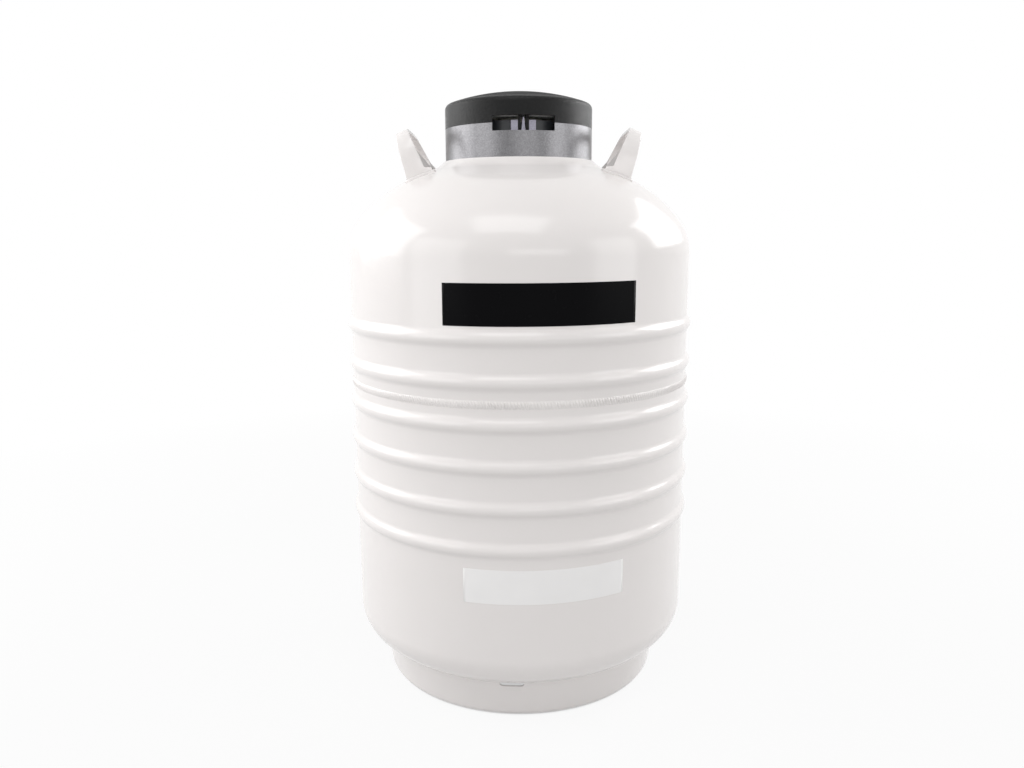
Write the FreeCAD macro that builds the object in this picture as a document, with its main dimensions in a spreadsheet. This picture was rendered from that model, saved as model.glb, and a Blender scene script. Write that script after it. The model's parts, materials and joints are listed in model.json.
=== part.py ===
import FreeCAD, Part
import math
import os
import Sketcher

# Storage dewar for biological samples: a double-walled aluminium vessel with
# a wide neck, six hanging canisters and a lockable lid with a foam neck plug.
# Millimetres; the origin is the centre of the foot on the ground, +Z is up
# and the lock faces -Y.

DIMENSIONS = {
    # outer shell
    "wall_radius": (225.0, "outside radius of the plain wall"),
    "shell_wall": (2.5, "thickness of the outer shell"),
    "base_height": (43.0, "underside of the outer shell above the ground"),
    "corner_radius": (45.0, "first arc of the bottom corner, down from the wall"),
    "corner_angle": (46.4, "end of that arc, from the horizontal"),
    "corner_crown": (66.8, "second arc of the bottom corner"),
    "dish_land": (10.0, "flat land between the corner and the dished middle of the bottom"),
    "dish_depth": (12.0, "depth of that dish"),
    "seam_height": (405.5, "girth weld between the two half shells"),
    "weld_half_width": (4.5, "half width of the girth weld"),
    "weld_height": (1.5, "height of the girth weld"),
    "shoulder_height": (569.4, "where the plain wall ends"),
    "knuckle_radius": (71.0, "first shoulder arc"),
    "knuckle_angle": (37.3, "end of the first arc, from the horizontal"),
    "crown_radius": (167.3, "second shoulder arc"),
    "crown_angle": (67.5, "end of the second arc, from the horizontal"),
    "slope_angle": (21.2, "slope of the shoulder above the crease"),
    "ledge_margin": (2.5, "ledge of the shell outside the collar"),
    "flare_radius": (55.5, "concave rise under the collar"),
    "flare_angle": (44.0, "steepest slope of that rise"),
    "neck_land": (8.0, "land for the collar's screws outside the index ring"),
    "shell_neck_height": (22.0, "height of the shell's neck above its ledge"),
    # rolled beads
    "bead_pitch": (49.6, "distance between beads"),
    "bead_width": (24.0, "width of a bead at the wall"),
    "bead_height": (4.3, "height of a bead over the wall"),
    "bead_crown": (10.0, "radius of a bead's crown"),
    # foot
    "foot_setback": (39.0, "foot ring above its curl inside the plain wall"),
    "foot_taper": (4.0, "widening of the foot ring up to the shell"),
    "foot_curl": (8.0, "rolled edge of the foot ring"),
    "foot_lip": (11.0, "flat lip inside the rolled edge"),
    "foot_wall": (2.5, "thickness of the foot ring"),
    "slot_width": (31.0, "drain slot in the foot ring"),
    "slot_height": (5.2, "depth of the drain slot under the shell"),
    "slot_corner": (4.0, "rounded lower corners of the drain slot"),
    "slot_turn": (-3.2, "direction of the first drain slot"),
    # carrying handles
    "handle_setback": (10.5, "a handle's foot outside the start of the slope"),
    "handle_tilt": (23.0, "outward lean of a handle"),
    "handle_height": (63.3, "height of a handle along its lean"),
    "handle_span": (140.0, "width of a handle over both legs"),
    "handle_strap": (5.0, "thickness of the handle strap"),
    "handle_bend": (38.0, "outside bend radius of the strap"),
    "handle_top_inner": (11.8, "strap edge inside the centre line at the top"),
    "handle_top_outer": (3.9, "strap edge outside the centre line at the top"),
    "handle_foot_inner": (14.7, "inner edge at the foot"),
    "handle_foot_outer": (12.7, "outer edge at the foot"),
    "handle_toe": (8.0, "length of the toe beyond the inner edge"),
    "handle_toe_height": (8.0, "height where the toe meets the inner edge"),
    # neck
    "neck_bore": (120.0, "free bore of the neck tube"),
    "neck_wall": (2.0, "wall of the neck tube"),
    "neck_tube_length": (250.0, "length of the neck tube under its lip"),
    "neck_lip": (3.6, "width of the neck tube's lip"),
    "neck_lip_height": (2.0, "thickness of that lip"),
    "flange_height": (6.0, "thickness of the neck flange"),
    "flange_skirt": (14.0, "depth of the flange's skirt round the tube"),
    "bond_gap": (0.3, "adhesive gap round the neck tube"),
    # inner vessel
    "vacuum_space": (38.5, "space between the walls of the two vessels"),
    "inner_wall": (2.0, "wall of the inner vessel"),
    "bottom_space": (46.0, "underside of the inner vessel over the outer shell's underside"),
    "inner_corner": (62.0, "bottom corner of the inner vessel"),
    "inner_knuckle": (45.0, "shoulder knuckle of the inner vessel"),
    "inner_crown": (230.0, "crown of the inner vessel's shoulder"),
    "inner_seam": (255.0, "girth weld of the inner vessel"),
    "inner_neck_wall": (3.5, "wall of the inner vessel's neck ring"),
    "inner_neck_height": (26.0, "height of that ring above the tube's end"),
    "wrap_thickness": (22.0, "insulation round the inner vessel"),
    "wrap_gap": (0.3, "gap between the insulation and what it wraps"),
    "pack_radius": (60.0, "adsorbent pack under the inner vessel"),
    "pack_height": (10.0, "thickness of the adsorbent pack"),
    # vacuum port
    "port_setback": (17.0, "axis of the vacuum port outside the start of the slope"),
    "port_bore": (14.0, "bore of the vacuum nozzle"),
    "port_wall": (3.0, "wall of the vacuum nozzle"),
    "port_height": (15.0, "height of the nozzle over the shell"),
    "port_flange": (6.0, "width of the nozzle's welding flange"),
    "cap_wall": (1.8, "wall of the port cap"),
    # collar and index ring
    "collar_gap": (5.0, "gap between the shell's neck and the collar"),
    "collar_wall": (3.0, "wall of the collar"),
    "collar_rise": (9.5, "height of the collar's edge over its deck"),
    "deck_thickness": (3.0, "deck across the collar"),
    "lock_turn": (3.9, "turn of the collar and the lid about the neck"),
    "window_width": (76.0, "width of the lock window"),
    "window_in_lid": (8.4, "height of the window in the lid"),
    "hasp_setback": (5.0, "outer end of the hasp inside the collar"),
    "hasp_depth": (12.0, "depth of the hasp from its outer end"),
    "hasp_block": (8.5, "width of each hasp block"),
    "hasp_height": (12.9, "height of the hasp blocks over the deck"),
    "fin_width": (5.5, "width of the centre fin at its foot"),
    "fin_tip": (1.6, "width of the centre fin at its tip"),
    "fin_height": (16.3, "height of the centre fin over the deck"),
    "padlock_hole": (8.0, "hole for the padlock"),
    "padlock_height": (7.0, "height of that hole over the deck"),
    "index_floor": (2.0, "floor of the index ring"),
    "index_rim_height": (12.0, "height of the rim that the hangers hook over"),
    "index_rim_wall": (2.6, "thickness of that rim"),
    "index_notch": (4.0, "depth of the notches in the rim"),
    "hook_trough": (8.5, "trough for the hooks between that rim and the panels"),
    "index_panel_height": (13.6, "height of the outer panels over the deck"),
    "index_panel_wall": (3.0, "thickness of the outer panels"),
    "panel_gap": (5.0, "gap between two panels"),
    "piece_gap": (0.3, "clearance between parts that fit in each other"),
    # lid
    "lid_side": (24.8, "height of the lid's side"),
    "lid_edge": (7.0, "rounded upper edge of the lid"),
    "lid_crown": (280.0, "radius of the lid's domed top"),
    "lid_wall": (3.0, "wall of the lid"),
    "lid_rim": (6.0, "depth of the locating rim inside the collar"),
    "lug_width": (3.2, "thickness of each lid lug"),
    "lug_gap": (0.4, "clearance between a lug and the fin or a block"),
    "lug_clear": (2.0, "clearance under the lugs"),
    "liner_height": (8.6, "underside of the lid liner over the collar"),
    "liner_thickness": (3.0, "thickness of the lid liner"),
    "boss_radius": (5.0, "screw bosses inside the lid"),
    "boss_inset": (4.0, "axis of the screw bosses inside the hasp"),
    "plug_gap": (3.5, "gap round the foam neck plug"),
    "plug_length": (216.0, "length of the foam neck plug"),
    "plug_chamfer": (4.0, "chamfer at the plug's lower edge"),
    # screws
    "screw_diameter": (4.0, "shank of the screws"),
    "screw_head": (7.6, "head of the screws"),
    "screw_head_height": (2.2, "height of the screw heads"),
    "collar_screw_length": (7.0, "length of the collar screws under the head"),
    "screw_clear": (0.7, "gap between the index ring and a screw's head"),
    "liner_screw_length": (11.0, "length of the liner screws under the head"),
    "screw_turn": (45.0, "direction of the first screw from the collar's X axis"),
    # canisters
    "canister_diameter": (97.0, "outside diameter of a canister"),
    "canister_drop": (88.9, "rim of a canister under the neck tube's end"),
    "canister_wall": (1.0, "wall of a canister"),
    "canister_clear": (6.4, "height of a canister above the vessel's rounded corner"),
    "canister_corner": (4.0, "rounded bottom edge of a canister"),
    "drain_hole": (8.0, "drain holes in a canister's bottom"),
    "drain_circle": (26.0, "distance of those holes from its axis"),
    "hanger_diameter": (4.0, "wire of a canister hanger"),
    "hanger_inset": (6.3, "axis of a hanger inside the neck tube's bore"),
    "hanger_overlap": (60.0, "length of the hanger along the canister"),
    "hanger_bend": (6.0, "bend radius of the hanger"),
    "hanger_reach": (6.0, "hook's end outside the rim"),
    "hanger_clear": (1.0, "clearance under the hook's end"),
    "groove_clearance": (1.2, "clearance round a hanger in the plug"),
    "locator_margin": (6.0, "canister locator inside the vessel's rounded corner"),
    "locator_plate": (2.0, "thickness of its plate and fins"),
    "locator_clear": (4.0, "gap between its hub and a canister"),
    "locator_height": (42.0, "height of the hub and the fins"),
}

CANISTERS = 6
UPPER_BEADS = 2
LOWER_BEADS = 4
FOOT_SLOTS = 3
SCREWS = 4

document = FreeCAD.newDocument("storage_dewar")
sheet = document.addObject("Spreadsheet::Sheet", "sizes")
for row, (alias, (value, meaning)) in enumerate(DIMENSIONS.items(), start=1):
    sheet.set("A%d" % row, meaning)
    sheet.set("B%d" % row, str(value))
    sheet.setAlias("B%d" % row, alias)
document.recompute()


class Size:
    """A length or an angle: its value now, and the text that binds it to the sheet."""

    def __init__(self, value, text):
        self.value = value
        self.text = text

    def __add__(self, other):
        other = as_size(other)
        return Size(self.value + other.value, "(%s + %s)" % (self.text, other.text))

    def __sub__(self, other):
        other = as_size(other)
        return Size(self.value - other.value, "(%s - %s)" % (self.text, other.text))

    def __mul__(self, other):
        other = as_size(other)
        return Size(self.value * other.value, "(%s * %s)" % (self.text, other.text))

    def __truediv__(self, other):
        other = as_size(other)
        return Size(self.value / other.value, "(%s / %s)" % (self.text, other.text))

    def __neg__(self):
        return Size(-self.value, "(0 - %s)" % self.text)


def as_size(value):
    """A plain number as a Size, and a Size as it is."""
    if isinstance(value, Size):
        return value
    return Size(float(value), "%r" % float(value))


def sine(angle):
    return Size(math.sin(math.radians(angle.value)), "sin(%s)" % angle.text)


def cosine(angle):
    return Size(math.cos(math.radians(angle.value)), "cos(%s)" % angle.text)


def root(square):
    return Size(math.sqrt(square.value), "sqrt(%s)" % square.text)


class Dimensions:
    """The sheet's cells by name."""

    def __getattr__(self, alias):
        return Size(float(sheet.get(alias)), "sizes." + alias)


D = Dimensions()

def corner_height(radius, wall, base, corner, inset):
    """Height of a vessel's rounded bottom corner at a radius, outside or an inset inside it."""
    reach = radius - (wall - corner)
    bend = corner - inset
    return base + corner - root(bend * bend - reach * reach)


# Bottom corner of the outer shell, and the underside of the inner vessel
CORNER_STEP = D.corner_crown - D.corner_radius
CORNER_EDGE = D.wall_radius - D.corner_radius - CORNER_STEP * cosine(D.corner_angle)
CORNER_TOP = D.base_height + D.corner_crown - CORNER_STEP * sine(D.corner_angle)
INNER_BASE = D.base_height + D.bottom_space

# Radii of the neck, from its bore outward
NECK_RADIUS = D.neck_bore / 2
TUBE_RADIUS = NECK_RADIUS + D.neck_wall
LIP_RADIUS = TUBE_RADIUS + D.neck_lip
DECK_BORE = LIP_RADIUS + D.piece_gap
RIM_OUTER = DECK_BORE + D.index_rim_wall
PANEL_INNER = RIM_OUTER + D.hook_trough
INDEX_RADIUS = PANEL_INNER + D.index_panel_wall
SHELL_NECK = INDEX_RADIUS + D.neck_land
COLLAR_INNER = SHELL_NECK + D.collar_gap
COLLAR_RADIUS = COLLAR_INNER + D.collar_wall
LEDGE_RADIUS = COLLAR_RADIUS + D.ledge_margin
SLOPE_RADIUS = LEDGE_RADIUS + D.flare_radius * (sine(D.flare_angle) - sine(D.slope_angle))

# The shoulder's arcs and the heights that stand on them
CROWN_CENTRE = (
    D.wall_radius - D.knuckle_radius + cosine(D.knuckle_angle) * (D.knuckle_radius - D.crown_radius),
    D.shoulder_height + sine(D.knuckle_angle) * (D.knuckle_radius - D.crown_radius),
)
CREASE = (
    CROWN_CENTRE[0] + cosine(D.crown_angle) * D.crown_radius,
    CROWN_CENTRE[1] + sine(D.crown_angle) * D.crown_radius,
)
SLOPE_TAN = sine(D.slope_angle) / cosine(D.slope_angle)
SLOPE_TOP = CREASE[1] + (CREASE[0] - SLOPE_RADIUS) * SLOPE_TAN
LEDGE = SLOPE_TOP + D.flare_radius * (cosine(D.slope_angle) - cosine(D.flare_angle))
NECK_TOP = LEDGE + D.shell_neck_height
FLANGE_TOP = NECK_TOP + D.flange_height
TUBE_END = FLANGE_TOP - D.neck_tube_length
DECK = FLANGE_TOP + D.deck_thickness
COLLAR_TOP = DECK + D.collar_rise
RIM_TOP = DECK + D.index_rim_height
LINER_BASE = COLLAR_TOP + D.liner_height
LINER_TOP = LINER_BASE + D.liner_thickness

# Places of the hasp, the screws and the lid's rim
HASP_OUTER = COLLAR_INNER - D.hasp_setback
HASP_INNER = HASP_OUTER - D.hasp_depth
BLOCK_START = D.fin_width / 2 + D.lug_gap * 2 + D.lug_width
SCREW_CIRCLE = INDEX_RADIUS + D.screw_head / 2 + D.screw_clear
BOSS_CIRCLE = HASP_INNER - D.boss_inset
LID_RIM_OUTER = COLLAR_INNER - D.piece_gap
LID_RIM_INNER = LID_RIM_OUTER - D.lid_wall

# The inner vessel and the canisters that hang in it
INNER_RADIUS = D.wall_radius - D.shell_wall - D.vacuum_space
INNER_TUBE_SEAT = TUBE_RADIUS + D.bond_gap
INNER_NECK_RADIUS = INNER_TUBE_SEAT + D.inner_neck_wall
INNER_NECK_TOP = TUBE_END + D.inner_neck_height
HANGER_RADIUS = NECK_RADIUS - D.hanger_inset
HOOK_HEIGHT = RIM_TOP - D.index_notch + D.hanger_diameter / 2
CANISTER_INNER = HANGER_RADIUS + D.hanger_diameter / 2 + D.piece_gap
CANISTER_CIRCLE = CANISTER_INNER + D.canister_diameter / 2
CANISTER_BASE = D.canister_clear + corner_height(
    CANISTER_INNER + D.canister_diameter, INNER_RADIUS, INNER_BASE, D.inner_corner, D.inner_wall
)
CANISTER_HEIGHT = TUBE_END - D.canister_drop - CANISTER_BASE

ORIGIN = (as_size(0), as_size(0), as_size(0))
UP = (0, 0, 1)


def place(feature, name, base, axis=UP, turn=None):
    """Binds a placement's base, and its turn about an axis when an angle is given."""
    turn = turn or as_size(0)
    rotation = FreeCAD.Rotation(FreeCAD.Vector(*axis), turn.value)
    setattr(feature, name, FreeCAD.Placement(
        FreeCAD.Vector(base[0].value, base[1].value, base[2].value), rotation))
    for letter, size in zip("xyz", base):
        if size.text != "0.0":
            feature.setExpression("%s.Base.%s" % (name, letter), size.text)
    if turn.text != "0.0":
        feature.setExpression(name + ".Rotation.Angle", turn.text)


def new_body(label, turn=None, base=ORIGIN, axis=UP):
    """An empty body at a base, turned about an axis when an angle is given."""
    body = document.addObject("PartDesign::Body", label)
    body.Label = label
    place(body, "Placement", base, axis, turn)
    return body


def origin_feature(body, role):
    """One of the body's own origin planes or axes."""
    for feature in body.Origin.OriginFeatures:
        if feature.Role == role:
            return feature
    raise RuntimeError("no origin feature " + role)


def new_sketch(body, name, plane, offset=None):
    """A sketch on an origin plane, moved along the plane's normal if asked."""
    sketch = body.newObject("Sketcher::SketchObject", name)
    sketch.AttachmentSupport = [(origin_feature(body, plane), "")]
    sketch.MapMode = "FlatFace"
    if offset is not None:
        place(sketch, "AttachmentOffset", (as_size(0), as_size(0), offset))
    return sketch


def arc_geometry(start, end, radius, side):
    """A minor arc from start to end, with its centre to the left (side 1) or the right (side -1)."""
    across = end - start
    half = across.Length / 2
    rise = math.sqrt(max(radius * radius - half * half, 0.0))
    normal = FreeCAD.Vector(-across.y, across.x, 0).normalize() * side
    centre = start + across / 2 + normal * rise
    first, last = (start, end) if side > 0 else (end, start)
    begin = math.atan2(first.y - centre.y, first.x - centre.x)
    finish = math.atan2(last.y - centre.y, last.x - centre.x)
    circle = Part.Circle(centre, FreeCAD.Vector(0, 0, 1), radius)
    return Part.ArcOfCircle(circle, begin, finish)


def draw(sketch, path, closed=True):
    """Draws a chain of lines and arcs and binds every corner and radius to the sheet.

    Each corner is (x, y) where a line follows, and (x, y, radius, side) where an arc follows.
    """
    corners = [(as_size(corner[0]), as_size(corner[1])) + tuple(corner[2:]) for corner in path]
    count = len(corners) if closed else len(corners) - 1
    first_index = sketch.GeometryCount
    ends = []
    bindings = []
    constraints = []
    geometry = []
    for index in range(count):
        corner = corners[index]
        following = corners[(index + 1) % len(corners)]
        start = FreeCAD.Vector(corner[0].value, corner[1].value, 0)
        end = FreeCAD.Vector(following[0].value, following[1].value, 0)
        number = first_index + index
        if len(corner) == 4:
            geometry.append(arc_geometry(start, end, corner[2].value, corner[3]))
            ends.append((number, 1, 2) if corner[3] > 0 else (number, 2, 1))
            bindings.append((len(constraints), corner[2]))
            constraints.append(Sketcher.Constraint("Radius", number, corner[2].value))
        else:
            geometry.append(Part.LineSegment(start, end))
            ends.append((number, 1, 2))
    places = [(ends[index][0], ends[index][1], corners[index]) for index in range(count)]
    if not closed:
        places.append((ends[-1][0], ends[-1][2], corners[-1]))
    for number, position, corner in places:
        for kind, axis, size in (("DistanceX", -2, corner[0]), ("DistanceY", -1, corner[1])):
            if size.text == "0.0":
                constraints.append(Sketcher.Constraint("PointOnObject", number, position, axis))
            else:
                bindings.append((len(constraints), size))
                constraints.append(Sketcher.Constraint(kind, -1, 1, number, position, size.value))
    for index in range(count if closed else count - 1):
        number, _, last = ends[index]
        next_number, next_first, _ = ends[(index + 1) % count]
        constraints.append(Sketcher.Constraint("Coincident", number, last, next_number, next_first))
    sketch.addGeometry(geometry)
    offset = sketch.ConstraintCount
    sketch.addConstraint(constraints)
    for index, size in bindings:
        sketch.setExpression("Constraints[%d]" % (offset + index), size.text)
    return sketch


def draw_circle(sketch, x, y, radius):
    """Adds a circle with its centre and radius bound to the sheet."""
    x, y, radius = as_size(x), as_size(y), as_size(radius)
    centre = FreeCAD.Vector(x.value, y.value, 0)
    number = sketch.addGeometry(Part.Circle(centre, FreeCAD.Vector(0, 0, 1), radius.value))
    bindings = [(Sketcher.Constraint("Radius", number, radius.value), radius)]
    for kind, axis, size in (("DistanceX", -2, x), ("DistanceY", -1, y)):
        if size.text == "0.0":
            sketch.addConstraint(Sketcher.Constraint("PointOnObject", number, 3, axis))
        else:
            bindings.append((Sketcher.Constraint(kind, -1, 1, number, 3, size.value), size))
    for constraint, size in bindings:
        index = sketch.addConstraint(constraint)
        sketch.setExpression("Constraints[%d]" % index, size.text)
    return sketch


def rectangle(left, bottom, right, top):
    return [(left, bottom), (right, bottom), (right, top), (left, top)]


def revolve(body, name, path):
    """Turns a closed outline, drawn as radius and height, about the body's Z axis."""
    sketch = draw(new_sketch(body, name + "_outline", "XZ_Plane"), path)
    feature = body.newObject("PartDesign::Revolution", name)
    feature.Profile = sketch
    feature.ReferenceAxis = (sketch, ["V_Axis"])
    feature.Angle = 360
    return feature


def pad(body, name, sketch, length, midplane=False, reverse=False):
    feature = body.newObject("PartDesign::Pad", name)
    feature.Profile = sketch
    feature.Length = length.value
    feature.setExpression("Length", length.text)
    feature.Midplane = midplane
    feature.Reversed = reverse
    return feature


def pocket(body, name, sketch, length, midplane=False, reverse=False):
    """Cuts a sketch out of the body and checks that something was cut."""
    document.recompute()
    before = body.Shape.Volume
    feature = body.newObject("PartDesign::Pocket", name)
    feature.Profile = sketch
    feature.Length = length.value
    feature.setExpression("Length", length.text)
    feature.Midplane = midplane
    feature.Reversed = reverse
    document.recompute()
    if body.Shape.Volume >= before:
        raise RuntimeError(name + " cuts nothing")
    return feature


def around(body, name, feature, copies):
    """Repeats a feature evenly about the body's Z axis."""
    pattern = body.newObject("PartDesign::PolarPattern", name)
    pattern.Originals = [feature]
    pattern.Axis = (origin_feature(body, "Z_Axis"), [""])
    pattern.Angle = 360
    pattern.Occurrences = copies
    body.Tip = pattern
    return pattern


# Outer shell


def bead(centre, inset, upward):
    """Corners of one rolled bead, followed upward outside or downward inside the wall."""
    half = D.bead_width / 2
    radii = (half * half + D.bead_height * D.bead_height) / (D.bead_height * 2)
    crown = D.bead_crown - inset
    fillet = radii - D.bead_crown + inset
    wall = D.wall_radius - inset
    side_x = wall + D.bead_height - crown * D.bead_height / radii
    side_z = crown * half / radii
    if upward:
        return [
            (wall, centre - half, fillet, -1),
            (side_x, centre - side_z, crown, 1),
            (side_x, centre + side_z, fillet, -1),
            (wall, centre + half),
        ]
    return [
        (wall, centre + half, fillet, 1),
        (side_x, centre + side_z, crown, -1),
        (side_x, centre - side_z, fillet, 1),
        (wall, centre - half),
    ]


def upper_beads():
    first = D.seam_height + D.bead_pitch * 0.5
    return [first + D.bead_pitch * number for number in range(UPPER_BEADS)]


def lower_beads():
    first = D.seam_height - D.bead_pitch * 0.5
    return [first - D.bead_pitch * number for number in reversed(range(LOWER_BEADS))]


def shoulder(inset, upward):
    """Corners of the shoulder from the plain wall to the ledge under the collar."""
    wall = D.wall_radius - inset
    knuckle = D.knuckle_radius - inset
    crown = D.crown_radius - inset
    join = (
        D.wall_radius - D.knuckle_radius + cosine(D.knuckle_angle) * knuckle,
        D.shoulder_height + sine(D.knuckle_angle) * knuckle,
    )
    crease = (
        CROWN_CENTRE[0] + cosine(D.crown_angle) * crown,
        CROWN_CENTRE[1] + sine(D.crown_angle) * crown,
    )
    slope_end = (
        SLOPE_RADIUS - sine(D.slope_angle) * inset,
        SLOPE_TOP - cosine(D.slope_angle) * inset,
    )
    ledge = (
        LEDGE_RADIUS - sine(D.flare_angle) * inset,
        LEDGE - cosine(D.flare_angle) * inset,
    )
    flare = D.flare_radius + inset
    if upward:
        return [
            (wall, D.shoulder_height, knuckle, 1),
            join + (crown, 1),
            crease,
            slope_end + (flare, -1),
            ledge,
        ]
    return [
        ledge + (flare, 1),
        slope_end,
        crease + (crown, -1),
        join + (knuckle, -1),
        (wall, D.shoulder_height),
    ]


def weld_radius():
    square = D.weld_half_width * D.weld_half_width + D.weld_height * D.weld_height
    return square / (D.weld_height * 2)


def make_outer_shell_upper():
    """Upper half shell with two beads, the shoulder and a short neck, open for the vacuum nozzle."""
    body = new_body("outer_shell_upper")
    inside = D.wall_radius - D.shell_wall
    neck_inside = SHELL_NECK - D.shell_wall
    path = [(D.wall_radius + D.weld_height, D.seam_height, weld_radius(), 1)]
    path.append((D.wall_radius, D.seam_height + D.weld_half_width))
    for height in upper_beads():
        path += bead(height, as_size(0), True)
    path += shoulder(as_size(0), True)
    path += [(SHELL_NECK, LEDGE), (SHELL_NECK, NECK_TOP)]
    path += [(neck_inside, NECK_TOP), (neck_inside, LEDGE - D.shell_wall)]
    path += shoulder(D.shell_wall, False)
    for height in reversed(upper_beads()):
        path += bead(height, D.shell_wall, False)
    path.append((inside, D.seam_height))
    revolve(body, "upper_shell", path)
    hole = new_sketch(body, "port_hole_outline", "XY_Plane")
    place(hole, "AttachmentOffset", port_base(), (1, 0, 0), -D.slope_angle)
    draw_circle(hole, 0, 0, D.port_bore / 2 + D.port_wall + D.piece_gap)
    pocket(body, "port_hole", hole, D.port_height * 2, midplane=True)
    return body


def corner_join(inset):
    """Point where the two arcs of the bottom corner meet, outside or an inset inside it."""
    bend = D.corner_crown - inset
    return (
        CORNER_EDGE + bend * cosine(D.corner_angle),
        D.base_height + D.corner_crown - bend * sine(D.corner_angle),
    )


def make_outer_shell_lower():
    """Lower half shell with four beads, a rounded corner and a dished bottom."""
    body = new_body("outer_shell_lower")
    edge = CORNER_EDGE - D.dish_land
    dish = (edge * edge + D.dish_depth * D.dish_depth) / (D.dish_depth * 2)
    floor = D.base_height + D.shell_wall
    inside = D.wall_radius - D.shell_wall
    path = [(0, D.base_height + D.dish_depth, dish, -1), (edge, D.base_height)]
    path += [(CORNER_EDGE, D.base_height, D.corner_crown, 1)]
    path += [corner_join(as_size(0)) + (D.corner_radius, 1), (D.wall_radius, CORNER_TOP)]
    for height in lower_beads():
        path += bead(height, as_size(0), True)
    path.append((D.wall_radius, D.seam_height - D.weld_half_width, weld_radius(), 1))
    path += [(D.wall_radius + D.weld_height, D.seam_height), (inside, D.seam_height)]
    for height in reversed(lower_beads()):
        path += bead(height, D.shell_wall, False)
    path += [(inside, CORNER_TOP, D.corner_radius - D.shell_wall, -1)]
    path += [corner_join(D.shell_wall) + (D.corner_crown - D.shell_wall, -1)]
    path += [(CORNER_EDGE, floor)]
    path += [(edge, floor, dish, 1), (0, floor + D.dish_depth)]
    revolve(body, "lower_shell", path)
    return body


def foot_seat(radius):
    """Top of the foot ring at a radius, a weld gap under the shell's rounded corner."""
    wall = CORNER_EDGE + D.corner_crown
    height = corner_height(radius, wall, D.base_height, D.corner_crown, as_size(0))
    return height - D.piece_gap


def make_foot_ring():
    """Slightly conical foot ring with a rolled edge and drain slots under the shell."""
    body = new_body("foot_ring", D.slot_turn)
    outside = D.wall_radius - D.foot_setback
    top_outer = outside + D.foot_taper
    top_inner = top_outer - D.foot_wall
    top_height = foot_seat(top_outer)
    curl_radius = outside - D.foot_curl
    lip_radius = curl_radius - D.foot_lip
    path = [(lip_radius, 0), (curl_radius, 0, D.foot_curl, 1), (outside, D.foot_curl)]
    path += [(top_outer, top_height), (top_inner, foot_seat(top_inner))]
    path += [(outside - D.foot_wall, D.foot_curl, D.foot_curl - D.foot_wall, -1)]
    path += [(curl_radius, D.foot_wall), (lip_radius, D.foot_wall)]
    revolve(body, "ring", path)
    half = D.slot_width / 2
    end = D.slot_corner
    slot_top = top_height + D.slot_height
    slot_bottom = top_height - D.slot_height
    sketch = new_sketch(body, "slot_outline", "XZ_Plane")
    path = [(end - half, slot_bottom)]
    path += [(half - end, slot_bottom, end, 1), (half, slot_bottom + end)]
    path += [(half, slot_top), (-half, slot_top), (-half, slot_bottom + end, end, 1)]
    draw(sketch, path)
    slot = pocket(body, "slot", sketch, D.wall_radius, reverse=True)
    around(body, "slots", slot, FOOT_SLOTS)
    return body


# Carrying handles


def on_side(path, side):
    """An outline as drawn for the right side (1), or its mirror image for the left (-1)."""
    return [(as_size(corner[0]) * side, corner[1]) + tuple(corner[2:3])
            + tuple(bend * side for bend in corner[3:]) for corner in path]


def make_handle(label, shoulder_former, side):
    """A strap bent into an inverted U, leaning outward and cut to the shoulder's slope."""
    leg = (D.handle_span - D.handle_strap) / 2
    foot_radius = SLOPE_RADIUS + D.handle_setback
    leg_radius = root(foot_radius * foot_radius + leg * leg)
    foot = CREASE[1] + (CREASE[0] - leg_radius) * SLOPE_TAN
    base = (foot_radius * side, as_size(0), foot)
    body = new_body(label + "_strap", D.handle_tilt * side, base, (0, 1, 0))
    half = D.handle_span / 2
    top = D.handle_height
    below = D.handle_height / 2
    inner = half - D.handle_strap
    bend = D.handle_bend
    inner_bend = D.handle_bend - D.handle_strap
    path = [(half, -below), (half, top - bend, bend, 1), (half - bend, top)]
    path += [(bend - half, top, bend, 1), (-half, top - bend), (-half, -below)]
    path += [(-inner, -below), (-inner, top - bend, inner_bend, -1)]
    path += [(bend - half, top - D.handle_strap)]
    path += [(half - bend, top - D.handle_strap, inner_bend, -1), (inner, top - bend)]
    path += [(inner, -below)]
    strap = draw(new_sketch(body, label + "_outline", "YZ_Plane"), path)
    width = (D.handle_foot_inner + D.handle_toe) * 2
    pad(body, label + "_pad", strap, width, midplane=True)
    outside = width
    path = [(D.handle_top_outer, top), (D.handle_foot_outer, 0)]
    path += [(D.handle_foot_outer, -below), (outside, -below), (outside, top)]
    outer_cut = draw(new_sketch(body, label + "_outer_side", "XZ_Plane"), on_side(path, side))
    pocket(body, label + "_outer_cut", outer_cut, D.handle_span * 2, midplane=True)
    toe = D.handle_foot_inner + D.handle_toe
    flare = (top * top) / (D.handle_toe * 2)
    path = [(-D.handle_top_inner, top), (-outside, top), (-outside, D.handle_strap)]
    path += [(-toe, D.handle_strap), (-D.handle_foot_inner, D.handle_toe_height, flare, 1)]
    inner_cut = draw(new_sketch(body, label + "_inner_side", "XZ_Plane"), on_side(path, side))
    pocket(body, label + "_inner_cut", inner_cut, D.handle_span * 2, midplane=True)
    handle = document.addObject("Part::Cut", label)
    handle.Label = label
    handle.Base = body
    handle.Tool = shoulder_former
    return handle


def make_shoulder_former():
    """Space that the shoulder fills with its weld gap, which trims the feet of the handles."""
    body = new_body("shoulder_former")
    path = [(0, D.seam_height), (D.wall_radius, D.seam_height)]
    path += shoulder(-D.piece_gap, True)
    path += [(0, LEDGE)]
    revolve(body, "former", path)
    return body


# Neck


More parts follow.
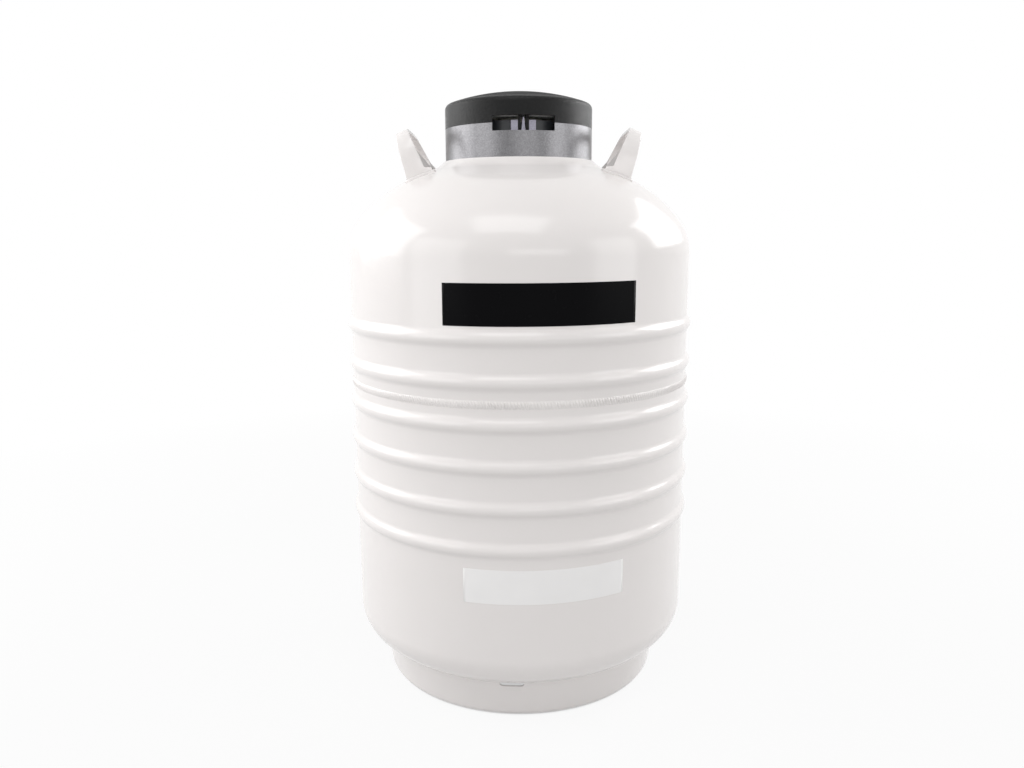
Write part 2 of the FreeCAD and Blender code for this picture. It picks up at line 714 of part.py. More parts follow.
def make_neck_flange():
    """Ring welded on the shell's neck, with a skirt that the neck tube is bonded into."""
    body = new_body("neck_flange", D.lock_turn)
    seat = TUBE_RADIUS + D.bond_gap
    skirt = seat + D.flange_height
    path = [(seat, NECK_TOP - D.flange_skirt), (skirt, NECK_TOP - D.flange_skirt)]
    path += [(skirt, NECK_TOP), (SHELL_NECK, NECK_TOP)]
    path += [(SHELL_NECK, FLANGE_TOP), (seat, FLANGE_TOP)]
    revolve(body, "flange", path)
    depth = D.collar_screw_length - D.deck_thickness + D.piece_gap
    screw_holes(body, "screw_hole", SCREW_CIRCLE, FLANGE_TOP, depth)
    return body


def screw_holes(body, name, circle, height, depth, reverse=False):
    """Holes for a set of screws, one clearance wider than the shank."""
    sketch = new_sketch(body, name + "_outline", "XY_Plane", offset=height)
    draw_circle(sketch, circle * cosine(D.screw_turn), circle * sine(D.screw_turn),
                D.screw_diameter / 2 + D.piece_gap)
    hole = pocket(body, name, sketch, depth, reverse=reverse)
    around(body, name + "s", hole, SCREWS)


def make_neck_tube():
    """Glass-fibre neck tube that hangs from its lip and carries the inner vessel."""
    body = new_body("neck_tube")
    path = [(NECK_RADIUS, TUBE_END), (TUBE_RADIUS, TUBE_END), (TUBE_RADIUS, FLANGE_TOP)]
    path += [(LIP_RADIUS, FLANGE_TOP), (LIP_RADIUS, FLANGE_TOP + D.neck_lip_height)]
    path += [(NECK_RADIUS, FLANGE_TOP + D.neck_lip_height)]
    revolve(body, "tube", path)
    return body


# Inner vessel


def inner_shoulder():
    """Centre heights of the inner vessel's knuckle and crown, worked out from its neck."""
    knuckle_x = INNER_RADIUS - D.inner_knuckle
    reach = D.inner_crown - D.inner_knuckle
    inside = D.inner_crown - D.inner_wall
    crown_z = TUBE_END - D.inner_neck_wall - root(inside * inside - NECK_RADIUS * NECK_RADIUS)
    return crown_z + root(reach * reach - knuckle_x * knuckle_x), crown_z


def inner_dome(inset, neck, upward):
    """Corners of the inner vessel's shoulder, from its wall to a neck of the given radius."""
    knuckle_z, crown_z = inner_shoulder()
    crown = D.inner_crown - inset
    knuckle = D.inner_knuckle - inset
    reach = D.inner_crown - D.inner_knuckle
    join = (
        (INNER_RADIUS - D.inner_knuckle) * crown / reach,
        crown_z + (knuckle_z - crown_z) * crown / reach,
    )
    start = (INNER_RADIUS - inset, knuckle_z)
    end = (neck, crown_z + root(crown * crown - neck * neck))
    if upward:
        return [start + (knuckle, 1), join + (crown, 1), end]
    return [end + (crown, -1), join + (knuckle, -1), start]


def make_inner_vessel_upper():
    """Upper half of the inner vessel with the ring that the neck tube is bonded into."""
    body = new_body("inner_vessel_upper")
    path = [(INNER_RADIUS, D.inner_seam)]
    path += inner_dome(as_size(0), INNER_NECK_RADIUS, True)
    path += [(INNER_NECK_RADIUS, INNER_NECK_TOP), (INNER_TUBE_SEAT, INNER_NECK_TOP)]
    path += [(INNER_TUBE_SEAT, TUBE_END), (NECK_RADIUS, TUBE_END)]
    path += inner_dome(D.inner_wall, NECK_RADIUS, False)
    path += [(INNER_RADIUS - D.inner_wall, D.inner_seam)]
    revolve(body, "upper_vessel", path)
    return body


def make_inner_vessel_lower():
    """Lower half of the inner vessel, a deep drawn pan."""
    body = new_body("inner_vessel_lower")
    span = INNER_RADIUS - D.inner_corner
    inside = INNER_RADIUS - D.inner_wall
    corner_top = INNER_BASE + D.inner_corner
    path = [(0, INNER_BASE), (span, INNER_BASE, D.inner_corner, 1)]
    path += [(INNER_RADIUS, corner_top), (INNER_RADIUS, D.inner_seam), (inside, D.inner_seam)]
    path += [(inside, corner_top, D.inner_corner - D.inner_wall, -1)]
    path += [(span, INNER_BASE + D.inner_wall), (0, INNER_BASE + D.inner_wall)]
    revolve(body, "lower_vessel", path)
    return body


def make_insulation_wrap():
    """Layered blanket wound round the whole inner vessel, under vacuum."""
    body = new_body("insulation_wrap")
    span = INNER_RADIUS - D.inner_corner
    outside = INNER_RADIUS + D.wrap_thickness
    corner_top = INNER_BASE + D.inner_corner
    bottom = INNER_BASE - D.pack_height - D.wrap_thickness * 0.5
    skin = bottom + D.inner_corner
    pack = D.pack_radius + D.wrap_gap
    floor = INNER_BASE - D.wrap_gap
    neck_inner = INNER_NECK_RADIUS + D.wrap_gap
    neck_outer = INNER_NECK_RADIUS + D.wrap_thickness
    path = [(0, bottom), (outside - D.inner_corner, bottom, D.inner_corner, 1), (outside, skin)]
    path += inner_dome(-D.wrap_thickness, neck_outer, True)
    path += [(neck_outer, INNER_NECK_TOP), (neck_inner, INNER_NECK_TOP)]
    path += inner_dome(-D.wrap_gap, neck_inner, False)
    path += [(INNER_RADIUS + D.wrap_gap, corner_top, D.inner_corner + D.wrap_gap, -1)]
    path += [(span, floor), (pack, floor), (pack, floor - D.pack_height), (0, floor - D.pack_height)]
    revolve(body, "wrap", path)
    return body


def make_adsorbent_pack():
    """Flat pack of adsorbent against the cold underside of the inner vessel."""
    body = new_body("adsorbent_pack")
    top = INNER_BASE
    path = rectangle(0, top - D.pack_height, D.pack_radius, top)
    revolve(body, "pack", path)
    return body


def make_canister_locator():
    """Plate on the vessel's floor with a hub and fins that keep the canisters apart."""
    body = new_body("canister_locator", D.lock_turn + 180 / CANISTERS)
    floor = INNER_BASE + D.inner_wall
    radius = INNER_RADIUS - D.inner_corner - D.locator_margin
    hub = CANISTER_INNER - D.locator_clear
    inside = hub - D.locator_plate
    top = floor + D.locator_height
    plate = floor + D.locator_plate
    path = [(0, floor), (radius, floor), (radius, plate), (hub, plate), (hub, top)]
    path += [(inside, top), (inside, plate), (0, plate)]
    revolve(body, "plate", path)
    half = D.locator_plate / 2
    sketch = new_sketch(body, "fin_outline", "XY_Plane", offset=floor)
    draw(sketch, rectangle(inside + half, -half, radius, half))
    fin = pad(body, "fin", sketch, D.locator_height)
    around(body, "fins", fin, CANISTERS)
    return body


# Vacuum port on the back of the shoulder


def port_base():
    """Middle of the vacuum port on the shoulder's slope."""
    return as_size(0), SLOPE_RADIUS + D.port_setback, SLOPE_TOP - D.port_setback * SLOPE_TAN


def new_port_body(label):
    """An empty body on the port, its Z axis square to the shell."""
    return new_body(label, -D.slope_angle, port_base(), (1, 0, 0))


def make_vacuum_port():
    """Nozzle, sealing plug and push-on cap of the vacuum port."""
    bore = D.port_bore / 2
    tube = bore + D.port_wall
    flange = tube + D.port_flange
    plate = D.port_wall / 2
    nozzle = new_port_body("vacuum_nozzle")
    path = [(bore, -D.port_height), (tube, -D.port_height), (tube, D.piece_gap)]
    path += [(flange, D.piece_gap), (flange, plate), (tube, D.port_wall)]
    path += [(tube, D.port_height), (bore, D.port_height)]
    revolve(nozzle, "nozzle", path)
    plug = new_port_body("vacuum_plug")
    shank = bore - D.piece_gap
    path = [(0, -D.port_wall), (shank, -D.port_wall), (shank, D.port_height)]
    path += [(tube, D.port_height), (tube, D.port_height + D.port_wall)]
    path += [(0, D.port_height + D.port_wall)]
    revolve(plug, "plug", path)
    cap = new_port_body("vacuum_cap")
    inner = tube + D.piece_gap
    outer = inner + D.cap_wall
    ceiling = D.port_height + D.port_wall
    top = ceiling + D.cap_wall
    edge = D.cap_wall
    path = [(inner, D.port_wall + plate), (outer, D.port_wall + plate), (outer, top - edge, edge, 1)]
    path += [(outer - edge, top), (0, top), (0, ceiling), (inner, ceiling)]
    revolve(cap, "cap", path)
    return [nozzle, plug, cap]


# Collar with its half of the lock


def lock_box(body, name, left, right, inner, outer, bottom, height):
    """A block of the hasp, given by its sides, its distances from the axis and its height."""
    sketch = new_sketch(body, name + "_outline", "XY_Plane", offset=bottom)
    draw(sketch, rectangle(left, -outer, right, -inner))
    return pad(body, name, sketch, height)


def padlock_bore(body, width):
    """Hole for the padlock, square to the hasp's blocks."""
    sketch = new_sketch(body, "padlock_hole_outline", "YZ_Plane")
    middle = (HASP_INNER + HASP_OUTER) / 2
    draw_circle(sketch, -middle, DECK + D.padlock_height, D.padlock_hole / 2)
    pocket(body, "padlock_hole", sketch, width, midplane=True)


def make_collar():
    """Collar round the neck with a deck, the lock window, two hasp blocks and a centre fin."""
    body = new_body("collar", D.lock_turn)
    path = [(COLLAR_INNER, LEDGE), (COLLAR_RADIUS, LEDGE), (COLLAR_RADIUS, COLLAR_TOP)]
    path += [(COLLAR_INNER, COLLAR_TOP), (COLLAR_INNER, DECK), (DECK_BORE, DECK)]
    path += [(DECK_BORE, FLANGE_TOP), (COLLAR_INNER, FLANGE_TOP)]
    revolve(body, "collar_ring", path)
    half = D.window_width / 2
    front = new_sketch(body, "window_outline", "XZ_Plane", offset=HASP_INNER)
    draw(front, rectangle(-half, DECK, half, COLLAR_TOP + D.lid_side))
    pocket(body, "window", front, COLLAR_RADIUS - HASP_INNER + D.collar_wall, reverse=True)
    start = BLOCK_START
    end = start + D.hasp_block
    sink = D.deck_thickness / 2
    for name, left, right in (("hasp_left", -end, -start), ("hasp_right", start, end)):
        lock_box(body, name, left, right, HASP_INNER, HASP_OUTER, DECK - sink,
                 D.hasp_height + sink)
    foot = D.fin_width / 2
    tip = D.fin_tip / 2
    fin = new_sketch(body, "fin_outline", "XZ_Plane", offset=HASP_INNER)
    path = [(-foot, DECK - sink), (foot, DECK - sink), (foot, DECK)]
    path += [(tip, DECK + D.fin_height), (-tip, DECK + D.fin_height), (-foot, DECK)]
    draw(fin, path)
    pad(body, "fin", fin, HASP_OUTER - HASP_INNER)
    padlock_bore(body, end * 3)
    screw_holes(body, "screw_hole", SCREW_CIRCLE, DECK, D.deck_thickness)
    return body


def make_index_ring():
    """Ring on the deck with a notched rim for the hangers and a panelled outer wall."""
    body = new_body("index_ring", D.lock_turn)
    floor = DECK + D.index_floor
    panel_top = DECK + D.index_panel_height
    path = [(DECK_BORE, DECK), (INDEX_RADIUS, DECK), (INDEX_RADIUS, panel_top)]
    path += [(PANEL_INNER, panel_top), (PANEL_INNER, floor), (RIM_OUTER, floor), (RIM_OUTER, RIM_TOP)]
    path += [(DECK_BORE, RIM_TOP)]
    revolve(body, "ring", path)
    notch = new_sketch(body, "notch_outline", "YZ_Plane")
    half = D.hanger_diameter / 2 + D.piece_gap
    draw(notch, rectangle(-half, RIM_TOP - D.index_notch, half, RIM_TOP + D.index_notch))
    cut = pocket(body, "notch", notch, RIM_OUTER + D.piece_gap)
    around(body, "notches", cut, CANISTERS)
    gap = new_sketch(body, "gap_outline", "XY_Plane", offset=floor)
    half = D.panel_gap / 2
    draw(gap, rectangle(PANEL_INNER - half, -half, INDEX_RADIUS + half, half))
    cut = pocket(body, "gap", gap, D.index_panel_height, reverse=True)
    around(body, "gaps", cut, CANISTERS)
    half = BLOCK_START + D.hasp_block + D.lug_gap
    hasp = new_sketch(body, "hasp_gap_outline", "XZ_Plane", offset=HASP_INNER - D.lug_gap)
    draw(hasp, rectangle(-half, DECK, half, panel_top + D.index_floor))
    pocket(body, "hasp_gap", hasp, COLLAR_RADIUS - HASP_INNER, reverse=True)
    return body


def make_screws(label, circle, seat, length, upward):
    """A set of cap screws standing on a circle, their heads down where they point upward."""
    sign = 1 if upward else -1
    shank = D.screw_diameter / 2
    head = D.screw_head / 2
    under = -D.screw_head_height
    socket = under / 2
    path = [(0, length), (shank, length), (shank, 0), (head, 0), (head, under), (shank, under)]
    path += [(shank, socket), (0, socket)]
    path = [(radius, as_size(height) * sign) for radius, height in path]
    screws = []
    for number in range(SCREWS):
        turn = D.lock_turn + D.screw_turn + 360 / SCREWS * number
        base = (circle * cosine(turn), circle * sine(turn), seat)
        screw = new_body("%s_%d" % (label, number + 1), base=base)
        revolve(screw, screw.Name + "_turned", path)
        screws.append(screw)
    group = document.addObject("Part::Compound", label)
    group.Label = label
    group.Links = screws
    return group


# Lid


def make_lid_cap():
    """Domed lid with a locating rim, the lock window, two lugs and four screw bosses."""
    body = new_body("lid_cap", D.lock_turn)
    outer = COLLAR_RADIUS
    side_top = COLLAR_TOP + D.lid_side
    crown = D.lid_crown
    edge = D.lid_edge
    # centre height of the dome, so that it meets the rounded edge without a crease
    reach = outer - edge
    dome_z = side_top - root((crown - edge) * (crown - edge) - reach * reach)
    join = (reach * crown / (crown - edge), (side_top - dome_z) * crown / (crown - edge) + dome_z)
    inner_edge = edge - D.lid_wall
    inner_crown = crown - D.lid_wall
    inner_join = (
        reach * inner_crown / (crown - edge),
        (side_top - dome_z) * inner_crown / (crown - edge) + dome_z,
    )
    inside = outer - D.lid_wall
    path = [(LID_RIM_INNER, COLLAR_TOP - D.lid_rim), (LID_RIM_OUTER, COLLAR_TOP - D.lid_rim)]
    path += [(LID_RIM_OUTER, COLLAR_TOP), (outer, COLLAR_TOP), (outer, side_top, edge, 1)]
    path += [join + (crown, 1), (0, dome_z + crown), (0, dome_z + inner_crown, inner_crown, -1)]
    path += [inner_join + (inner_edge, -1), (inside, side_top), (inside, LINER_BASE)]
    path += [(LID_RIM_INNER, LINER_BASE)]
    revolve(body, "dome", path)
    half = D.window_width / 2
    front = new_sketch(body, "window_outline", "XZ_Plane", offset=HASP_INNER)
    draw(front, rectangle(-half, COLLAR_TOP - D.lid_rim * 2, half, COLLAR_TOP + D.window_in_lid))
    pocket(body, "window", front, outer - HASP_INNER + D.lid_wall, reverse=True)
    start = D.fin_width / 2 + D.lug_gap
    end = start + D.lug_width
    bottom = DECK + D.lug_clear
    height = dome_z + root(inner_crown * inner_crown - HASP_INNER * HASP_INNER) - bottom
    for name, left, right in (("lug_left", -end, -start), ("lug_right", start, end)):
        lock_box(body, name, left, right, HASP_INNER, HASP_OUTER, bottom, height)
    padlock_bore(body, end * 3)
    boss_height = dome_z + root(inner_crown * inner_crown - BOSS_CIRCLE * BOSS_CIRCLE) - LINER_TOP
    sketch = new_sketch(body, "boss_outline", "XY_Plane", offset=LINER_TOP)
    draw_circle(sketch, BOSS_CIRCLE * cosine(D.screw_turn), BOSS_CIRCLE * sine(D.screw_turn),
                D.boss_radius)
    boss = pad(body, "boss", sketch, boss_height + D.lid_wall / 3)
    around(body, "bosses", boss, SCREWS)
    screw_holes(body, "boss_bore", BOSS_CIRCLE, LINER_TOP, D.liner_screw_length, reverse=True)
    return body


def make_lid_liner():
    """Flat liner that closes the lid and carries the neck plug."""
    body = new_body("lid_liner", D.lock_turn)
    radius = LID_RIM_INNER - D.piece_gap
    revolve(body, "liner", rectangle(0, LINER_BASE, radius, LINER_TOP))
    half = BLOCK_START
    sketch = new_sketch(body, "lug_notch_outline", "XY_Plane", offset=LINER_TOP)
    draw(sketch, rectangle(-half, -COLLAR_RADIUS, half, D.lug_gap - HASP_INNER))
    pocket(body, "lug_notch", sketch, D.liner_thickness * 2)
    screw_holes(body, "liner_hole", BOSS_CIRCLE, LINER_TOP, D.liner_thickness)
    return body


def make_neck_plug():
    """Foam plug with a groove for each hanger, bonded under the liner."""
    body = new_body("neck_plug", D.lock_turn)
    bottom = LINER_BASE - D.plug_length
    radius = NECK_RADIUS - D.plug_gap
    path = [(0, bottom), (radius - D.plug_chamfer, bottom), (radius, bottom + D.plug_chamfer)]
    path += [(radius, LINER_BASE), (0, LINER_BASE)]
    revolve(body, "foam", path)
    half = D.hanger_diameter / 2 + D.groove_clearance
    sketch = new_sketch(body, "groove_outline", "XY_Plane", offset=bottom)
    path = [(NECK_RADIUS, -half), (NECK_RADIUS, half), (HANGER_RADIUS, half, half, 1)]
    path += [(HANGER_RADIUS - half, 0, half, 1), (HANGER_RADIUS, -half)]
    draw(sketch, path)
    groove = pocket(body, "groove", sketch, D.plug_length, reverse=True)
    around(body, "grooves", groove, CANISTERS)
    return body


# Canisters


def make_canister(number):
    """One canister: a thin drawn cup with drain holes in its bottom."""
    turn = D.lock_turn + 360 / CANISTERS * number
    base = (CANISTER_CIRCLE * cosine(turn), CANISTER_CIRCLE * sine(turn), CANISTER_BASE)
    body = new_body("canister_%d" % (number + 1), turn, base)
    radius = D.canister_diameter / 2
    wall = D.canister_wall
    corner = D.canister_corner
    top = CANISTER_HEIGHT
    path = [(0, 0), (radius - corner, 0, corner, 1), (radius, corner), (radius, top)]
    path += [(radius - wall, top), (radius - wall, corner, corner - wall, -1)]
    path += [(radius - corner, wall), (0, wall)]
    revolve(body, body.Name + "_cup", path)
    sketch = new_sketch(body, body.Name + "_drain", "XY_Plane")
    draw_circle(sketch, D.drain_circle, 0, D.drain_hole / 2)
    drain = pocket(body, body.Name + "_hole", sketch, wall * 2, reverse=True)
    around(body, body.Name + "_holes", drain, SCREWS)
    return body


def make_hanger(number):
    """The wire of one canister, welded along it, up the neck and hooked over the rim."""
    turn = D.lock_turn + 360 / CANISTERS * number
    body = new_body("canister_hanger_%d" % (number + 1), turn)
    start = CANISTER_BASE + CANISTER_HEIGHT - D.hanger_overlap
    bend = D.hanger_bend
    small = D.hanger_diameter
    out = RIM_OUTER + D.hanger_reach
    path = [(HANGER_RADIUS, start), (HANGER_RADIUS, HOOK_HEIGHT - bend, bend, -1)]
    path += [(HANGER_RADIUS + bend, HOOK_HEIGHT), (out - small, HOOK_HEIGHT, small, -1)]
    path += [(out, HOOK_HEIGHT - small), (out, DECK + D.index_floor + D.hanger_clear)]
    spine = draw(new_sketch(body, body.Name + "_route", "XZ_Plane"), path, closed=False)
    section = new_sketch(body, body.Name + "_wire", "XY_Plane", offset=start)
    draw_circle(section, HANGER_RADIUS, 0, D.hanger_diameter / 2)
    pipe = body.newObject("PartDesign::AdditivePipe", body.Name + "_pipe")
    pipe.Profile = section
    pipe.Spine = spine
    return body


def collect():
    """Every sub-part, in the order in which the object is put together."""
    former = make_shoulder_former()
    parts = [make_outer_shell_lower(), make_outer_shell_upper(), make_foot_ring()]
    parts += [make_handle("handle_right", former, 1), make_handle("handle_left", former, -1)]
    parts += [make_inner_vessel_lower(), make_inner_vessel_upper(), make_adsorbent_pack()]
    parts += [make_insulation_wrap(), make_neck_tube(), make_neck_flange()]
    parts += make_vacuum_port()
    parts += [make_collar(), make_index_ring(), make_canister_locator()]
    parts += [make_canister(number) for number in range(CANISTERS)]
    parts += [make_hanger(number) for number in range(CANISTERS)]
    parts += [make_lid_cap(), make_lid_liner(), make_neck_plug()]
    parts.append(make_screws("collar_screws", SCREW_CIRCLE, DECK, D.collar_screw_length, False))
    parts.append(make_screws("liner_screws", BOSS_CIRCLE, LINER_BASE, D.liner_screw_length, True))
    return parts


def check(parts):
    """Stops if anything in the document failed or a sub-part has no sound shape."""
    document.recompute()
    for item in document.Objects:
        if "Invalid" in item.State or "Error" in item.State:
            raise RuntimeError("%s is %s" % (item.Name, item.State))
    for item in parts:
        if item.Shape.isNull() or not item.Shape.isValid():
            raise RuntimeError(item.Label + " has no valid shape")


def export(parts):
    os.makedirs("parts", exist_ok=True)
    for item in parts:
        item.Shape.exportStep("parts/%s.step" % item.Label)


subparts = collect()
check(subparts)
export(subparts)
for subpart in subparts:
    size = subpart.Shape.BoundBox
    print("%-22s %3d faces %9.1f cm3  %7.1f %7.1f" % (
        subpart.Label, len(subpart.Shape.Faces), subpart.Shape.Volume / 1000, size.ZMin, size.ZMax))
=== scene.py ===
import json
import math

import bmesh
import bpy
from bpy.props import FloatProperty, FloatVectorProperty, IntProperty, PointerProperty
from mathutils import Matrix, Vector


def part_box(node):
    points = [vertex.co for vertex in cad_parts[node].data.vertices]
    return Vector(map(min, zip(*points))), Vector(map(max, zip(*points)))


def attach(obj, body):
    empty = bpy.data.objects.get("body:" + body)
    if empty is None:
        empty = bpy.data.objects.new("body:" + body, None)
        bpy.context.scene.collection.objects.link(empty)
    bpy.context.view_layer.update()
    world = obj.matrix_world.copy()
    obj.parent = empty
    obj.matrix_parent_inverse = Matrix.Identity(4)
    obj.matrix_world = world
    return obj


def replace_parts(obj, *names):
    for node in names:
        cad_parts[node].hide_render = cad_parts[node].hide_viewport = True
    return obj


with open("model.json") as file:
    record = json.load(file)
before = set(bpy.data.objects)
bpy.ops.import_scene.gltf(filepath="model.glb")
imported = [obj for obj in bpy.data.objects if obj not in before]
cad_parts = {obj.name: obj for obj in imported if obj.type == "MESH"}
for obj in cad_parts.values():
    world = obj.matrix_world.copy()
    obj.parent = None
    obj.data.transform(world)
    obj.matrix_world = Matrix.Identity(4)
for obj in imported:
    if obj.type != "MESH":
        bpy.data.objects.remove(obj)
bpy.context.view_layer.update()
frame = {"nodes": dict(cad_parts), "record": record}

bl_info = {
    "name": "Storage dewar",
    "version": (1, 0, 0),
    "blender": (4, 5, 0),
    "location": "3D View > Sidebar > Dewar",
    "description": "Paints and details a wide-necked storage dewar for frozen samples",
    "category": "Object",
}

NODES = frame["nodes"]
VESSEL = "vessel"
LID = "lid"
FRONT = -math.pi / 2  # the front's direction, counted from +X
HAIR = 1e-6  # points closer than this are one point
PICTURE_WIDTH = 1024

# The lid is duller above this height, 12 mm under its top, with a short fade below it
LID_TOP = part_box("lid_cap")[1].z - 0.012
LID_FADE = 0.006

FINISHES = {}


def length(name, description, default):
    return FloatProperty(name=name, description=description, default=default, unit="LENGTH")


def angle(name, description, degrees):
    return FloatProperty(
        name=name, description=description, default=math.radians(degrees), subtype="ANGLE"
    )


def colour(name, description, default):
    return FloatVectorProperty(
        name=name, description=description, default=default, subtype="COLOR", min=0, max=1
    )


class ShellSizes(bpy.types.PropertyGroup):
    """Sizes of the outer shell's half section."""

    wall_radius: length("Wall radius", "Outside radius of the plain wall", 0.225)
    wall: length("Sheet", "Thickness of the shell", 0.0025)
    base: length("Base", "Underside above the ground", 0.043)
    corner: length("Corner", "First arc of the bottom corner", 0.045)
    corner_angle: angle("Corner angle", "End of that arc", 46.4)
    corner_crown: length("Corner crown", "Second arc of the bottom corner", 0.0668)
    dish_land: length("Dish land", "Flat land between the corner and the dish", 0.010)
    dish_depth: length("Dish depth", "Depth of the dished bottom", 0.012)
    seam: length("Seam", "Height of the girth weld", 0.4055)
    shoulder: length("Shoulder", "Height where the plain wall ends", 0.5694)
    knuckle: length("Knuckle", "First shoulder arc", 0.071)
    knuckle_angle: angle("Knuckle angle", "End of the first arc", 37.3)
    crown: length("Crown", "Second shoulder arc", 0.1673)
    crown_angle: angle("Crown angle", "End of the second arc", 67.5)
    slope_angle: angle("Slope", "Slope above the crease", 21.2)
    ledge_margin: length("Ledge", "Ledge outside the collar", 0.0025)
    flare: length("Flare", "Concave rise under the collar", 0.0555)
    flare_angle: angle("Flare angle", "Steepest slope of that rise", 44)
    neck: length("Neck", "Radius of the shell's own neck", 0.088)
    neck_height: length("Neck height", "Height of that neck over the ledge", 0.022)
    bead_pitch: length("Bead pitch", "Distance between beads", 0.0496)
    bead_width: length("Bead width", "Width of a bead at the wall", 0.024)
    bead_height: length("Bead height", "Height of a bead over the wall", 0.0043)
    bead_crown: length("Bead crown", "Radius of a bead's crown", 0.010)
    upper_beads: IntProperty(name="Upper beads", description="Beads above the seam", default=2)
    lower_beads: IntProperty(name="Lower beads", description="Beads below the seam", default=4)
    steps: IntProperty(name="Steps", description="Steps round the vessel", default=240)


class WeldSizes(bpy.types.PropertyGroup):
    """Sizes of the welds."""

    width: length("Girth width", "Width of the girth weld", 0.0095)
    height: length("Girth height", "Height of the girth weld over the wall", 0.0012)
    ripple: length("Ripple", "Distance between two ripples", 0.0038)
    depth: length("Ripple depth", "Depth of the ripples", 0.0010)
    bead: length("Fillet", "Radius of the weld round a handle's foot", 0.0029)
    bead_step: length("Fillet step", "Distance between two ripples of that weld", 0.0021)


class HandleSizes(bpy.types.PropertyGroup):
    """Sizes of the handles, with edges measured from a leg's centre line."""

    setback: length("Setback", "Foot outside the start of the slope", 0.0105)
    tilt: angle("Tilt", "Outward lean", 23)
    height: length("Height", "Height along the lean", 0.0633)
    span: length("Span", "Width over both legs", 0.140)
    strap: length("Strap", "Thickness of the strap", 0.005)
    bend: length("Bend", "Outside radius of the two bends", 0.038)
    toe: length("Toe", "Inner edge of the toe", 0.0227)
    toe_top: length("Toe top", "Height where the toe ends", 0.008)
    inner: length("Inner edge", "Inner edge above the toe", 0.0147)
    outer: length("Outer edge", "Outer edge at the foot", 0.0127)
    top_inner: length("Top inner edge", "Inner edge at the top", 0.0118)
    top_outer: length("Top outer edge", "Outer edge at the top", 0.0039)
    edge: length("Edge", "Rounding of the strap's edges", 0.0009)
    sunk: length("Sunk", "Depth of the foot under the weld", 0.0015)


class LockSizes(bpy.types.PropertyGroup):
    """Sizes of the collar, the lid and the lock between them."""

    turn: angle("Turn", "Turn of the lock to the right of the front", 3.9)
    collar: length("Collar", "Outside radius of the collar and the lid", 0.096)
    wall: length("Wall", "Wall of the collar and the lid", 0.003)
    deck: length("Deck", "Height of the collar's deck", 0.7179)
    deck_bore: length("Deck bore", "Radius of the hole in the deck", 0.0659)
    deck_sheet: length("Deck sheet", "Thickness of the deck", 0.003)
    seam: length("Seam", "Height where the lid meets the collar", 0.7274)
    rim: length("Rim", "Depth of the lid's rim inside the collar", 0.006)
    rim_gap: length("Rim gap", "Clearance outside that rim", 0.0003)
    liner: length("Liner", "Height of the lid's liner", 0.736)
    side: length("Side", "Height of the lid's side", 0.0248)
    edge: length("Edge", "Rounded upper edge of the lid", 0.007)
    crown: length("Crown", "Radius of the lid's domed top", 0.280)
    window: length("Window", "Width of the lock window", 0.076)
    head: length("Head", "Height of the window in the lid", 0.0084)
    outer: length("Hasp outside", "Outer end of the hasp from the axis", 0.088)
    inner: length("Hasp inside", "Inner end of the hasp from the axis", 0.076)
    block_start: length("Block start", "Inner side of each block", 0.00675)
    block: length("Block", "Width of each block", 0.0085)
    block_height: length("Block height", "Height of the blocks over the deck", 0.0129)
    fin: length("Fin", "Width of the centre fin at its foot", 0.0055)
    fin_tip: length("Fin tip", "Width of the fin at its tip", 0.0016)
    fin_height: length("Fin height", "Height of the fin over the deck", 0.0163)
    lug_start: length("Lug start", "Inner side of each lug of the lid", 0.00315)
    lug: length("Lug", "Thickness of each lug", 0.0032)
    lug_clear: length("Lug clearance", "Clearance under the lugs", 0.002)
    bore: length("Bore", "Diameter of the padlock's hole", 0.008)
    bore_height: length("Bore height", "Height of that hole over the deck", 0.007)
    rounding: length("Rounding", "Rounding of the moulded edges", 0.0004)


class LabelSizes(bpy.types.PropertyGroup):
    """Places of the two labels on the wall, with angles counted from the front."""

    band_low: length("Band bottom", "Lower edge of the dark band", 0.4944)
    band_high: length("Band top", "Upper edge of the dark band", 0.5423)
    band_left: angle("Band left", "Left end of the dark band", -22.5)
    band_right: angle("Band right", "Right end of the dark band", 36.4)
    strip_low: length("Strip bottom", "Lower edge of the pale strip", 0.167)
    strip_high: length("Strip top", "Upper edge of the pale strip", 0.209)
    strip_left: angle("Strip left", "Left end of the pale strip", -17.3)
    strip_right: angle("Strip right", "Right end of the pale strip", 33.4)
    film: length("Film", "Thickness of the label film", 0.00025)


class Colours(bpy.types.PropertyGroup):
    """Colours of the finishes."""

    paint: colour("Paint", "Gloss powder coat of the shell", (0.82, 0.788, 0.775))
    collar: colour("Collar", "Silver flake of the collar", (0.18, 0.178, 0.185))
    lid: colour("Lid", "Dark flake of the lid", (0.0015, 0.0015, 0.0016))
    hasp: colour("Hasp", "Lavender grey of the blocks and the fin", (0.30, 0.29, 0.35))
    index: colour("Index ring", "Dark grey of the index ring", (0.040, 0.044, 0.048))
    band: colour("Band", "Dark label film", (0.0025, 0.0025, 0.003))
    strip: colour("Strip", "Pale label film", (0.90, 0.89, 0.885))


class StageSizes(bpy.types.PropertyGroup):
    """Camera and floor."""

    eye: FloatVectorProperty(
        name="Eye", description="Place of the camera", default=(0, -1.1506, 0.6012),
        subtype="TRANSLATION",
    )
    pitch: angle("Pitch", "Downward tilt of the camera", 10.447)
    yaw: angle("Yaw", "Turn of the camera to the right", -0.512)
    roll: angle("Roll", "Roll of the camera", -0.282)
    focal_pixels: FloatProperty(
        name="Focal length in pixels", description="For a picture 1024 wide", default=843.5
    )
    floor: length("Floor", "Radius of the floor", 6.0)
    covered: length("Covered", "Radius of the floor under the vessel", 0.182)


